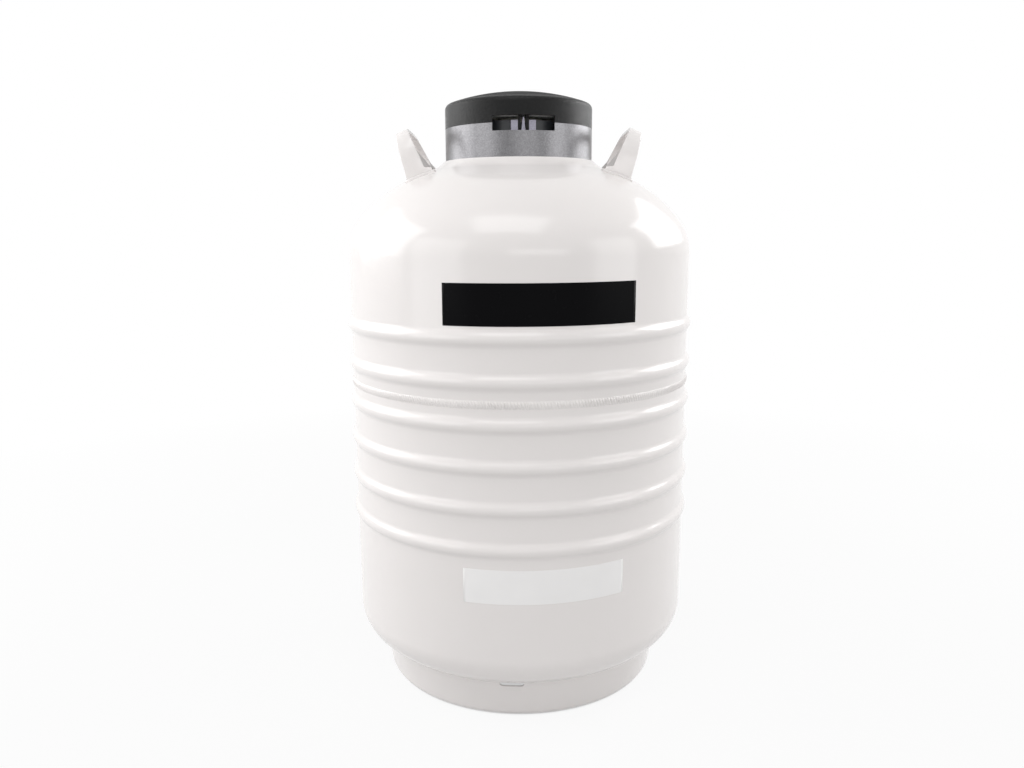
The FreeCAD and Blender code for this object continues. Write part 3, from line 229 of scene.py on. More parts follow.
class Value:
    """A shader socket that takes part in arithmetic."""

    def __init__(self, finish, socket):
        self.finish = finish
        self.socket = socket

    def joined(self, operation, first, second):
        return self.finish.add("Math", {"operation": operation}, {0: first, 1: second})

    def __add__(self, other):
        return self.joined("ADD", self, other)

    def __radd__(self, other):
        return self.joined("ADD", other, self)

    def __sub__(self, other):
        return self.joined("SUBTRACT", self, other)

    def __rsub__(self, other):
        return self.joined("SUBTRACT", other, self)

    def __mul__(self, other):
        return self.joined("MULTIPLY", self, other)

    def __rmul__(self, other):
        return self.joined("MULTIPLY", other, self)

    def __truediv__(self, other):
        return self.joined("DIVIDE", self, other)

    def __rtruediv__(self, other):
        return self.joined("DIVIDE", other, self)

    def above(self, level):
        return self.joined("GREATER_THAN", self, level)


class Finish:
    """A material or a world under construction."""

    def __init__(self, name, kind="materials"):
        self.name = name
        self.material = getattr(bpy.data, kind).new(name)
        self.material.use_nodes = True
        self.tree = self.material.node_tree
        self.tree.nodes.clear()
        texture = self.add("TexCoord", output="Object")
        self.point = self.add("Mapping", sockets={"Vector": texture})

    def add(self, kind, settings=None, sockets=None, output=0):
        """Adds a node: its settings first, then the values or links of its sockets."""
        node = self.tree.nodes.new("ShaderNode" + kind)
        for key, value in (settings or {}).items():
            if key == "stops":
                for element, (position, grey) in zip(node.color_ramp.elements, value):
                    element.position = position
                    element.color = (grey, grey, grey, 1)
            else:
                setattr(node, key, value)
        for key, value in (sockets or {}).items():
            if isinstance(value, Value):
                self.tree.links.new(value.socket, node.inputs[key])
            else:
                node.inputs[key].default_value = value
        return Value(self, node.outputs[output])

    def noise(self, scale, detail=2, roughness=0.5, point=None):
        """Soft noise between 0 and 1, with its scale in features per metre."""
        sockets = {"Vector": point or self.point, "Scale": scale, "Detail": detail}
        return self.add("TexNoise", sockets=dict(sockets, Roughness=roughness))

    def cells(self, scale):
        """A colour for each cell of a Voronoi pattern."""
        return self.add(
            "TexVoronoi", sockets={"Vector": self.point, "Scale": scale}, output="Color"
        )

    def cell_walls(self, scale):
        """Distance from the walls between the cells of a Voronoi pattern."""
        return self.add(
            "TexVoronoi", {"feature": "DISTANCE_TO_EDGE"}, {"Vector": self.point, "Scale": scale}
        )

    def ramp(self, factor, low, high):
        """0 below low, 1 above high."""
        return self.add("ValToRGB", {"stops": ((low, 0), (high, 1))}, {"Fac": factor})

    def mix(self, factor, first, second):
        """Mixes two colours."""
        first, second = (
            tone if isinstance(tone, Value) else tuple(tone)[:3] + (1,) for tone in (first, second)
        )
        return self.add(
            "Mix", {"data_type": "RGBA"}, {0: factor, 6: first, 7: second}, output=2
        )

    def seen(self):
        """1 where the camera, a reflection or a refraction looks, and 0 for other light."""
        rays = ("Is Camera Ray", "Is Glossy Ray", "Is Transmission Ray")
        camera, glossy, through = (self.add("LightPath", output=ray) for ray in rays)
        return camera + glossy + through

    def stretched(self, x, y, z):
        """The point with each axis scaled, for a grain that runs one way."""
        return self.add("Mapping", sockets={"Vector": self.point, "Scale": (x, y, z)})

    def bump(self, height, distance):
        sockets = {"Height": height, "Distance": distance, "Strength": 1.0}
        return self.add("Bump", sockets=sockets)

    def surface(self, **sockets):
        """Ends the material in one Principled shader and keeps it as a finish."""
        names = {key.replace("_", " ").title().replace("Ior", "IOR"): value
                 for key, value in sockets.items()}
        shader = self.add("BsdfPrincipled", sockets=names)
        self.add_output(shader)
        FINISHES[self.name] = self.material

    def add_output(self, shader, kind="Material"):
        output = self.tree.nodes.new("ShaderNodeOutput" + kind)
        self.tree.links.new(shader.socket, output.inputs["Surface"])


def shade(tone, factor):
    """A colour made lighter or darker."""
    return tuple(min(1.0, channel * factor) for channel in tuple(tone)[:3])


# Finishes


def paint(tone):
    """Gloss powder coat with a fine orange peel."""
    finish = Finish("shell_paint")
    base = finish.mix(finish.noise(7, 3), shade(tone, 0.985), shade(tone, 1.015))
    peel = finish.noise(330) + finish.noise(1400, 1) * 0.15
    rough = 0.12 + finish.noise(40) * 0.06
    finish.surface(base_color=base, roughness=rough, normal=finish.bump(peel, 0.00006))


def flake_plastic(name, tone, spread, metallic, gloss, roughness, grain, dull=None):
    """Moulded plastic with flakes and a fine spark-eroded texture, duller above a height."""
    finish = Finish(name)
    sparkle = finish.mix(finish.cells(850), shade(tone, 1 - spread), shade(tone, 1 + spread))
    base = finish.mix(finish.noise(30, 3) * 0.12, sparkle, shade(tone, 0.8))
    height = finish.noise(430) + finish.noise(1500, 1) * 0.4
    rough = roughness + finish.noise(900, 1) * 0.14
    if dull:
        level = finish.add("SeparateXYZ", sockets={0: finish.point}, output="Z")
        rough = rough + finish.ramp(level, dull - LID_FADE, dull) * 0.4
    finish.surface(
        base_color=base, metallic=metallic, specular_ior_level=gloss, roughness=rough,
        normal=finish.bump(height, grain),
    )


def mottled(name, tone, cloud, shades, texture, grain, roughness, wear, gloss=0.5):
    """A cloudy tone between two shades, a fine texture and an uneven roughness.

    cloud is the scale and detail of the tone's pattern, texture the scale of the bumps and
    grain their height, and wear the scale of the roughness and how far it goes up.
    """
    finish = Finish(name)
    base = finish.mix(finish.noise(*cloud), *(shade(tone, factor) for factor in shades))
    wear_scale, rise = wear
    finish.surface(
        base_color=base, specular_ior_level=gloss,
        roughness=roughness + finish.noise(wear_scale) * rise,
        normal=finish.bump(finish.noise(texture), grain),
    )


def plain_plastic(name, tone, roughness, grain):
    """Moulded plastic with a faint texture."""
    mottled(name, tone, (45, 3), (0.96, 1.04), 1600, grain, roughness, (200, 0.08))


def label_film(name, tone, roughness, gloss):
    """Label film with a slight waviness from the wall under it."""
    mottled(
        name, tone, (25, 2), (0.97, 1.03), 170, 0.00003, roughness, (120, 0.05), gloss
    )


def spun_metal(name, tone, roughness, stretch):
    """Metal with fine turning or drawing marks along one axis."""
    finish = Finish(name)
    grain = finish.noise(60, 4, 0.7, finish.stretched(*stretch))
    base = finish.mix(grain, shade(tone, 0.9), shade(tone, 1.06))
    stain = finish.ramp(finish.noise(12, 4), 0.45, 0.75)
    base = finish.mix(stain * 0.2, base, shade(tone, 0.8))
    normal = finish.bump(grain, 0.00004)
    rough = roughness + grain * 0.14
    finish.surface(base_color=base, metallic=1.0, roughness=rough, normal=normal)


def glass_fibre():
    """Resin-bonded glass cloth: a crossed weave under resin."""
    finish = Finish("glass_fibre")
    tone = (0.62, 0.64, 0.42)
    around = finish.noise(900, 1, 0.5, finish.stretched(1, 1, 0.12))
    along = finish.noise(900, 1, 0.5, finish.stretched(0.12, 0.12, 1))
    weave = around * 0.5 + along * 0.5
    base = finish.mix(weave, shade(tone, 0.78), shade(tone, 1.2))
    normal = finish.bump(weave, 0.00008)
    finish.surface(base_color=base, roughness=0.36 + weave * 0.1, normal=normal)


def foam():
    """Closed-cell foam: small cells with thin walls and a cut surface."""
    finish = Finish("plug_foam")
    tone = (0.80, 0.78, 0.68)
    cell = finish.ramp(finish.cell_walls(420), 0.02, 0.30)
    base = finish.mix(cell, shade(tone, 0.86), shade(tone, 1.04))
    normal = finish.bump(cell, 0.0002)
    finish.surface(base_color=base, roughness=0.82 + cell * 0.08, normal=normal)


def insulation_foil():
    """Crinkled foil over paper layers."""
    finish = Finish("insulation_foil")
    wrinkle = finish.noise(55, 5, 0.6)
    base = finish.mix(wrinkle, (0.70, 0.71, 0.73), (0.86, 0.87, 0.88))
    normal = finish.bump(finish.cell_walls(38) + wrinkle * 0.5, 0.002)
    finish.surface(
        base_color=base, metallic=0.9, roughness=0.24 + wrinkle * 0.12, normal=normal
    )


def adsorbent_cloth():
    """Woven bag cloth of the adsorbent pack."""
    finish = Finish("adsorbent_cloth")
    warp, weft = (
        finish.add(
            "TexWave", {"wave_type": "BANDS", "bands_direction": axis},
            {"Vector": finish.point, "Scale": 260, "Distortion": 0.6},
        )
        for axis in "XY"
    )
    weave = warp * 0.5 + weft * 0.5
    base = finish.mix(weave, (0.55, 0.54, 0.50), (0.74, 0.73, 0.68))
    normal = finish.bump(weave, 0.0004)
    finish.surface(base_color=base, roughness=0.85 + weave * 0.1, normal=normal)


def make_finishes(colours):
    """The record's slots, the hasp's own finish and the two label films."""
    along = (1, 1, 0.03)
    around = (1, 1, 14)
    paint(colours.paint)
    flake_plastic(
        "collar_plastic", colours.collar, spread=0.22, metallic=0.9, gloss=0.5,
        roughness=0.24, grain=0.00016,
    )
    flake_plastic(
        "lid_plastic", colours.lid, spread=0.7, metallic=0.0, gloss=0.20,
        roughness=0.16, grain=0.00070, dull=LID_TOP,
    )
    flake_plastic(
        "hasp_plastic", colours.hasp, spread=0.15, metallic=0.4, gloss=0.5,
        roughness=0.34, grain=0.00008,
    )
    mottled(
        "index_plastic", colours.index, cloud=(60, 3), shades=(0.9, 1.15), texture=1500,
        grain=0.00003, roughness=0.34, wear=(300, 0.1),
    )
    plain_plastic("cap_plastic", (0.035, 0.035, 0.038), 0.42, 0.00006)
    plain_plastic("liner_plastic", (0.72, 0.72, 0.70), 0.38, 0.00003)
    plain_plastic("port_rubber", (0.03, 0.03, 0.03), 0.68, 0.00008)
    spun_metal("vessel_aluminium", (0.72, 0.73, 0.75), 0.30, around)
    spun_metal("canister_steel", (0.62, 0.63, 0.64), 0.18, along)
    spun_metal("screw_steel", (0.58, 0.58, 0.58), 0.24, around)
    glass_fibre()
    foam()
    insulation_foil()
    adsorbent_cloth()
    label_film("band_film", colours.band, 0.24, 0.04)
    label_film("strip_film", colours.strip, 0.30, 0.4)


def dress(piece, name="shell_paint", slot=None, body=VESSEL):
    """Gives a new piece the finish called name, and its body; slot is not used."""
    slot = slot or name
    piece.data.materials.clear()
    piece.data.materials.append(FINISHES[name])
    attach(piece, body)


# Modelling

SECTORS = 24  # equal parts of a full spin

# Longest chords of arcs: seen curves, small edges, wide or hidden curves and the dish
CHORD = 0.0022
CHORD_SMALL = 0.001
CHORD_WIDE = 0.006
CHORD_DISH = 0.012
CHORD_TURN = 0.14  # the most that an arc turns in one chord, in radians

RIPPLE = (0.92, 1.06)  # sizes of a rippled bead's rings, in turn

SIDES = ((-1, "left"), (1, "right"))


def on_circle(centre, turn, radius):
    """The point of a circle at a turn from its right side."""
    return centre[0] + math.cos(turn) * radius, centre[1] + math.sin(turn) * radius


class Outline:
    """A half section drawn as radius and height, in straight runs and arcs."""

    def __init__(self, radius, height):
        self.points = [Vector((radius, 0, height))]

    def line(self, radius, height):
        self.points.append(Vector((radius, 0, height)))
        return self

    def arc(self, radius, height, bend, side, chord=CHORD):
        """An arc of radius bend to a point, its centre to the left (1) or the right (-1)."""
        start, end = self.points[-1], Vector((radius, 0, height))
        across = end - start
        half = across.length / 2
        rise = math.sqrt(max(bend * bend - half * half, 0))
        normal = Vector((-across.z, 0, across.x)).normalized() * side
        centre = start + across / 2 + normal * rise
        turn = 2 * math.asin(min(half / bend, 1)) * side
        turned = abs(turn)
        count = max(2, math.ceil(turned * bend / chord), math.ceil(turned / CHORD_TURN))
        arm = start - centre
        for step in range(1, count + 1):
            swing = Matrix.Rotation(-turn * step / count, 3, "Y")
            self.points.append(centre + swing @ arm)
        self.points[-1] = end
        return self


def turn_outwards(mesh):
    bmesh.ops.recalc_face_normals(mesh, faces=mesh.faces)


def finish_mesh(name, mesh, sharp=30):
    """Turns a bmesh into a piece with smooth faces and sharp edges above an angle."""
    limit = math.radians(sharp)
    for face in mesh.faces:
        face.smooth = True
    for edge in mesh.edges:
        if edge.is_manifold:
            edge.smooth = edge.calc_face_angle() < limit
    data = bpy.data.meshes.new(name)
    mesh.to_mesh(data)
    mesh.free()
    piece = bpy.data.objects.new(name, data)
    bpy.context.scene.collection.objects.link(piece)
    return piece


def spun(name, points, steps, closed=True, sharp=30, start=0.0, sweep=math.tau):
    """A half section turned about the neck's axis, all the way round unless a sweep is given."""
    mesh = bmesh.new()
    corners = [mesh.verts.new(Matrix.Rotation(start, 3, "Z") @ point) for point in points]
    edges = [mesh.edges.new(pair) for pair in zip(corners, corners[1:])]
    if closed:
        edges.append(mesh.edges.new((corners[-1], corners[0])))
    # a full turn is one sector and its copies, because many steps in one spin are slow
    sectors = SECTORS if sweep == math.tau else 1
    axis = {"axis": (0, 0, 1), "cent": (0, 0, 0)}
    bmesh.ops.spin(
        mesh, geom=corners + edges, angle=sweep / sectors, steps=steps // sectors, **axis
    )
    if sectors > 1:
        bmesh.ops.spin(
            mesh, geom=list(mesh.verts) + list(mesh.edges) + list(mesh.faces),
            angle=sweep - sweep / sectors, steps=sectors - 1, use_duplicate=True, **axis,
        )
    bmesh.ops.remove_doubles(mesh, verts=mesh.verts, dist=HAIR)
    turn_outwards(mesh)
    return finish_mesh(name, mesh, sharp)


def softened(node, name, width):
    """A CAD node's copy with its flat faces joined and its edges slightly rounded."""
    mesh = bmesh.new()
    mesh.from_mesh(NODES[node].data)
    bmesh.ops.remove_doubles(mesh, verts=mesh.verts, dist=HAIR)
    bmesh.ops.dissolve_limit(
        mesh, angle_limit=math.radians(0.3), verts=mesh.verts, edges=mesh.edges
    )
    piece = rounded(finish_mesh(name, mesh, 25), width)
    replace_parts(piece, node)
    return piece


def block(name, low, high, turn):
    """A block between two corners, turned about the neck's axis."""
    mesh = bmesh.new()
    low, high = Vector(low), Vector(high)
    place = Matrix.Rotation(turn, 4, "Z") @ Matrix.Translation((low + high) / 2)
    bmesh.ops.create_cube(mesh, size=1, matrix=place @ Matrix.Diagonal((*(high - low), 1)))
    return finish_mesh(name, mesh)


def rounded(piece, width):
    """Slightly rounded edges, with the flat faces shaded flat."""
    bevel = piece.modifiers.new("edge", "BEVEL")
    bevel.width = width
    bevel.segments = 2
    bevel.limit_method = "ANGLE"
    bevel.angle_limit = math.radians(25)
    weighted = piece.modifiers.new("shading", "WEIGHTED_NORMAL")
    weighted.keep_sharp = True
    return piece


def cut(piece, cutter):
    """Cuts a closed piece out of another and deletes it."""
    step = piece.modifiers.new("cut", "BOOLEAN")
    step.operation = "DIFFERENCE"
    step.object = cutter
    bpy.context.view_layer.update()
    graph = bpy.context.evaluated_depsgraph_get()
    data = bpy.data.meshes.new_from_object(piece.evaluated_get(graph))
    piece.modifiers.clear()
    piece.data = data
    bpy.data.objects.remove(cutter)


def swept(name, line, radius, segments):
    """A rippled bead along a closed line: rings of alternating size, bridged in turn."""
    mesh = bmesh.new()
    rings = []
    for number, point in enumerate(line):
        ahead = line[(number + 1) % len(line)] - line[number - 1]
        turn = ahead.to_track_quat("Z", "Y").to_matrix().to_4x4()
        ring = bmesh.ops.create_circle(
            mesh, segments=segments, radius=radius * RIPPLE[number % 2],
            matrix=Matrix.Translation(point) @ turn,
        )["verts"]
        rings.append({edge for vertex in ring for edge in vertex.link_edges})
    for first, second in zip(rings, rings[1:] + rings[:1]):
        bmesh.ops.bridge_loops(mesh, edges=list(first | second))
    turn_outwards(mesh)
    return finish_mesh(name, mesh, 60)


class ShellSection:
    """Corner points that the shell's outlines share."""

    def __init__(self, sizes):
        self.sizes = sizes
        swing = sizes.knuckle - sizes.crown
        self.knuckle = (sizes.wall_radius - sizes.knuckle, sizes.shoulder)
        self.centre = on_circle(self.knuckle, sizes.knuckle_angle, swing)
        self.crease = on_circle(self.centre, sizes.crown_angle, sizes.crown)
        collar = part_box("collar")[1].x
        rise = math.sin(sizes.flare_angle) - math.sin(sizes.slope_angle)
        self.ledge_radius = collar + sizes.ledge_margin
        self.slope_radius = self.ledge_radius + sizes.flare * rise
        self.slope_top = self.crease[1] + (self.crease[0] - self.slope_radius) * math.tan(
            sizes.slope_angle
        )
        drop = math.cos(sizes.slope_angle) - math.cos(sizes.flare_angle)
        self.ledge = self.slope_top + sizes.flare * drop

    def height(self, radius):
        """Height of the shoulder's surface at a radius, between the flare and the wall."""
        sizes = self.sizes
        if radius < self.crease[0]:
            return self.crease[1] + (self.crease[0] - radius) * math.tan(sizes.slope_angle)
        return self.centre[1] + math.sqrt(sizes.crown ** 2 - (radius - self.centre[0]) ** 2)

    def beads(self, count, way):
        """Heights of the beads above (1) or below (-1) the girth weld."""
        pitch = way * self.sizes.bead_pitch
        return [self.sizes.seam + pitch * (number + 0.5) for number in range(count)]

    def bead(self, outline, centre, inset, way):
        """One rolled bead, followed up (1) outside or down (-1) inside."""
        sizes = self.sizes
        half = sizes.bead_width / 2
        radii = (half * half + sizes.bead_height ** 2) / (sizes.bead_height * 2)
        crown = sizes.bead_crown - inset
        fillet = radii - sizes.bead_crown + inset
        wall = sizes.wall_radius - inset
        side = wall + sizes.bead_height - crown * sizes.bead_height / radii
        reach = crown * half / radii
        outline.line(wall, centre - half * way)
        outline.arc(side, centre - reach * way, fillet, -way)
        outline.arc(side, centre + reach * way, crown, way)
        outline.arc(wall, centre + half * way, fillet, -way)

    def shoulder(self, outline, inset, way):
        """The shoulder from the wall to the ledge (1), or back inside (-1)."""
        sizes = self.sizes
        knuckle, crown = sizes.knuckle - inset, sizes.crown - inset
        stops = [
            (sizes.wall_radius - inset, sizes.shoulder),
            on_circle(self.knuckle, sizes.knuckle_angle, knuckle),
            on_circle(self.centre, sizes.crown_angle, crown),
            (
                self.slope_radius - math.sin(sizes.slope_angle) * inset,
                self.slope_top - math.cos(sizes.slope_angle) * inset,
            ),
            (
                self.ledge_radius - math.sin(sizes.flare_angle) * inset,
                self.ledge - math.cos(sizes.flare_angle) * inset,
            ),
        ]
        bends = [(knuckle, 1), (crown, 1), None, (sizes.flare + inset, -1)]
        if way < 0:
            stops.reverse()
            bends.reverse()
        outline.line(*stops[0])
        for stop, bend in zip(stops[1:], bends):
            if bend is None:
                outline.line(*stop)
            else:
                outline.arc(stop[0], stop[1], bend[0], bend[1] * way)

    def upper(self):
        """The upper half's closed section, from the weld up outside and down inside."""
        sizes = self.sizes
        beads = self.beads(sizes.upper_beads, 1)
        outline = Outline(sizes.wall_radius, sizes.seam)
        for centre in beads:
            self.bead(outline, centre, 0, 1)
        self.shoulder(outline, 0, 1)
        inner = sizes.neck - sizes.wall
        outline.line(sizes.neck, self.ledge).line(sizes.neck, self.ledge + sizes.neck_height)
        outline.line(inner, self.ledge + sizes.neck_height).line(inner, self.ledge - sizes.wall)
        self.shoulder(outline, sizes.wall, -1)
        for centre in reversed(beads):
            self.bead(outline, centre, sizes.wall, -1)
        return outline.line(sizes.wall_radius - sizes.wall, sizes.seam).points

    def corner_join(self, span, inset):
        """Where the two arcs of the bottom corner meet."""
        sizes = self.sizes
        centre = (span, sizes.base + sizes.corner_crown)
        return on_circle(centre, -sizes.corner_angle, sizes.corner_crown - inset)

    def lower(self):
        """The lower half's section, from the axis up outside and back down inside."""
        sizes = self.sizes
        beads = self.beads(sizes.lower_beads, -1)
        step = sizes.corner_crown - sizes.corner
        span = sizes.wall_radius - sizes.corner - step * math.cos(sizes.corner_angle)
        top = sizes.base + sizes.corner_crown - step * math.sin(sizes.corner_angle)
        edge = span - sizes.dish_land
        dish = (edge ** 2 + sizes.dish_depth ** 2) / (sizes.dish_depth * 2)
        floor = sizes.base + sizes.wall
        outline = Outline(0, sizes.base + sizes.dish_depth)
        outline.arc(edge, sizes.base, dish, -1, CHORD_DISH)
        outline.line(span, sizes.base)
        outline.arc(*self.corner_join(span, 0), sizes.corner_crown, 1)
        outline.arc(sizes.wall_radius, top, sizes.corner, 1)
        for centre in reversed(beads):
            self.bead(outline, centre, 0, 1)
        inside = sizes.wall_radius - sizes.wall
        outline.line(sizes.wall_radius, sizes.seam).line(inside, sizes.seam)
        for centre in beads:
            self.bead(outline, centre, sizes.wall, -1)
        outline.line(inside, top)
        join = self.corner_join(span, sizes.wall)
        outline.arc(*join, sizes.corner - sizes.wall, -1, CHORD_WIDE)
        outline.arc(span, floor, sizes.corner_crown - sizes.wall, -1, CHORD_WIDE)
        outline.line(edge, floor).arc(0, floor + sizes.dish_depth, dish, 1, CHORD_DISH)
        return outline.points


class DewarOperator(bpy.types.Operator):
    """Shared by the steps that build the dewar."""

    bl_options = {"REGISTER", "UNDO"}


class DEWAR_OT_finishes(DewarOperator):
    """Makes the materials and gives each CAD node its own"""

    bl_idname = "dewar.finishes"
    bl_label = "Finishes"

    def execute(self, context):
        make_finishes(context.scene.dewar_colours)
        for row in frame["record"]["subparts"]:
            data = NODES[row["node"]].data
            data.materials.clear()
            data.materials.append(FINISHES[row["material_slot"]])
        return {"FINISHED"}


class DEWAR_OT_shell(DewarOperator):
    """Spins the two half shells from their half sections"""

    bl_idname = "dewar.shell"
    bl_label = "Outer shell"

    def execute(self, context):
        sizes = context.scene.dewar_shell
        section = ShellSection(sizes)
        for name, points in (("upper", section.upper()), ("lower", section.lower())):
            closed = name == "upper"
            piece = spun("half_shell_" + name, points, sizes.steps, closed)
            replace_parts(piece, "outer_shell_" + name)
            dress(piece)
        return {"FINISHED"}


class DEWAR_OT_welds(DewarOperator):
    """Lays the rippled girth weld"""

    bl_idname = "dewar.welds"
    bl_label = "Girth weld"

    # steps round each ripple, the ripples' slant, how far they wander sideways and how often,
    # and how far their height swells and how often
    steps = 5
    slant = 2.4
    wander, wanders = 0.5, 37
    swell, swells = 0.25, 11

    def execute(self, context):
        shell, welds = context.scene.dewar_shell, context.scene.dewar_welds
        half = welds.width / 2
        bend = (half * half + welds.height ** 2) / (welds.height * 2)
        root = shell.wall_radius - welds.height
        outline = Outline(root, shell.seam - half).line(shell.wall_radius, shell.seam - half)
        outline.arc(shell.wall_radius, shell.seam + half, bend, 1, welds.width / 12)
        outline.line(root, shell.seam + half)
        ripples = round(math.tau * shell.wall_radius / welds.ripple / SECTORS) * SECTORS
        piece = spun("girth_weld", outline.points, ripples * self.steps, sharp=60)
        for vertex in piece.data.vertices:
            radius = vertex.co.xy.length
            if radius > shell.wall_radius + 10 * HAIR:
                off = (vertex.co.z - shell.seam) / half
                turn = math.atan2(vertex.co.y, vertex.co.x)
                lift = welds.depth * max(0.0, 1 - off * off) * self.wave(turn, off, ripples)
                vertex.co.x *= 1 + lift / radius
                vertex.co.y *= 1 + lift / radius
        dress(piece)
        return {"FINISHED"}

    def wave(self, turn, off, ripples):
        """Height of the slanted ripples, between -1 and 1; off is the way off the middle."""
        sideways = self.slant * off + self.wander * math.sin(turn * self.wanders)
        swell = 1 - self.swell + self.swell * math.sin(turn * self.swells + 1)
        return math.cos(turn * ripples + sideways) * swell


class DEWAR_OT_handles(DewarOperator):
    """Bends the two handle straps and lays the welds round their feet"""

    bl_idname = "dewar.handles"
    bl_label = "Handles"
    bend_steps = 12
    foot_rounds = 6

    def execute(self, context):
        section = ShellSection(context.scene.dewar_shell)
        sizes, welds = context.scene.dewar_handles, context.scene.dewar_welds
        for side, name in SIDES:
            flip = Matrix.Diagonal((side, 1, 1, 1))
            strap = self.strap("handle_strap_" + name, section, sizes, flip)
            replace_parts(strap, "handle_" + name)
            dress(strap)
            for end, place in ((-1, "front"), (1, "back")):
                turn = Matrix.Diagonal((side, end, 1, 1))
                line = [turn @ point for point in self.foot_line(section, sizes, welds.bead_step)]
                dress(swept("weld_%s_%s" % (name, place), line, welds.bead, segments=10))
        return {"FINISHED"}

    @staticmethod
    def lean(section, sizes):
        """From a handle's own axes (outward, across, up its lean) to the vessel's."""
        start = section.slope_radius + sizes.setback
        leg = math.hypot(start, (sizes.span - sizes.strap) / 2)
        place = Matrix.Translation((start, 0, section.height(leg)))
        return place @ Matrix.Rotation(sizes.tilt, 4, "Y")

    def on_shoulder(self, section, sizes, outward, across, sunk=0.0):
        """The point of the shoulder under a point of the foot, found in a few steps."""
        lean = self.lean(section, sizes)
        rise = 0.0
        for _ in range(self.foot_rounds):
            point = lean @ Vector((outward, across, rise))
            gap = section.height(point.xy.length) - sunk - point.z
            rise += gap / math.cos(sizes.tilt)
        return lean @ Vector((outward, across, rise))

    def foot_line(self, section, sizes, step):
        """Closed line on the shoulder round one leg's foot."""
        near, far = sizes.span / 2 - sizes.strap, sizes.span / 2
        corners = [(-sizes.toe, near), (sizes.outer, near), (sizes.outer, far), (-sizes.toe, far)]
        line = []
        for first, second in zip(corners, corners[1:] + corners[:1]):
            run = Vector(second) - Vector(first)
            count = max(2, round(run.length / step))
            for number in range(count):
                place = Vector(first) + run * number / count
                line.append(self.on_shoulder(section, sizes, *place))
        return line

    def strap(self, name, section, sizes, flip):
        """The U outline filled and thickened, its edges tapered and its feet set down."""
        half, top, bend = sizes.span / 2, sizes.height, sizes.bend
        stations = (0.0, sizes.strap, sizes.toe_top)
        mesh = bmesh.new()
        outside = self.leg(half, bend, top, stations)
        inside = self.leg(half - sizes.strap, bend - sizes.strap, top - sizes.strap, stations)
        ring = outside + [(-y, z) for y, z in reversed(outside)]
        ring += [(-y, z) for y, z in inside] + [(y, z) for y, z in reversed(inside)]
        face = mesh.faces.new([mesh.verts.new((0, y, z)) for y, z in ring])
        made = bmesh.ops.extrude_face_region(mesh, geom=[face])["geom"]
        outer = {vertex for vertex in made if isinstance(vertex, bmesh.types.BMVert)}
        turn_outwards(mesh)
        for vertex in mesh.verts:
            share = vertex.co.z / top
            if vertex in outer:
                vertex.co.x = sizes.outer + (sizes.top_outer - sizes.outer) * share
            elif vertex.co.z < sizes.toe_top - HAIR:
                vertex.co.x = -sizes.toe
            else:
                share = (vertex.co.z - sizes.toe_top) / (top - sizes.toe_top)
                vertex.co.x = -sizes.inner + (sizes.inner - sizes.top_inner) * share
        feet = [vertex for vertex in mesh.verts if vertex.co.z < HAIR]
        lean = self.lean(section, sizes)
        set_down = [
            self.on_shoulder(section, sizes, vertex.co.x, vertex.co.y, sizes.sunk)
            for vertex in feet
        ]
        bmesh.ops.transform(mesh, matrix=lean, verts=mesh.verts)
        for vertex, place in zip(feet, set_down):
            vertex.co = place
        rims = [edge for edge in mesh.edges if edge.calc_face_angle(0) > math.radians(40)]
        bmesh.ops.bevel(
            mesh, geom=rims, offset=sizes.edge, affect="EDGES", segments=3, profile=0.5,
            material=-1, clamp_overlap=True,
        )
        bmesh.ops.transform(mesh, matrix=flip, verts=mesh.verts)
        turn_outwards(mesh)
        return finish_mesh(name, mesh, 35)

    def leg(self, half, bend, top, stations):
        """One side of the U, from the foot up and round the bend."""
        points = [(half, height) for height in stations]
        for step in range(self.bend_steps + 1):
            turn = math.pi / 2 * step / self.bend_steps
            points.append(on_circle((half - bend, top - bend), turn, bend))
        return points


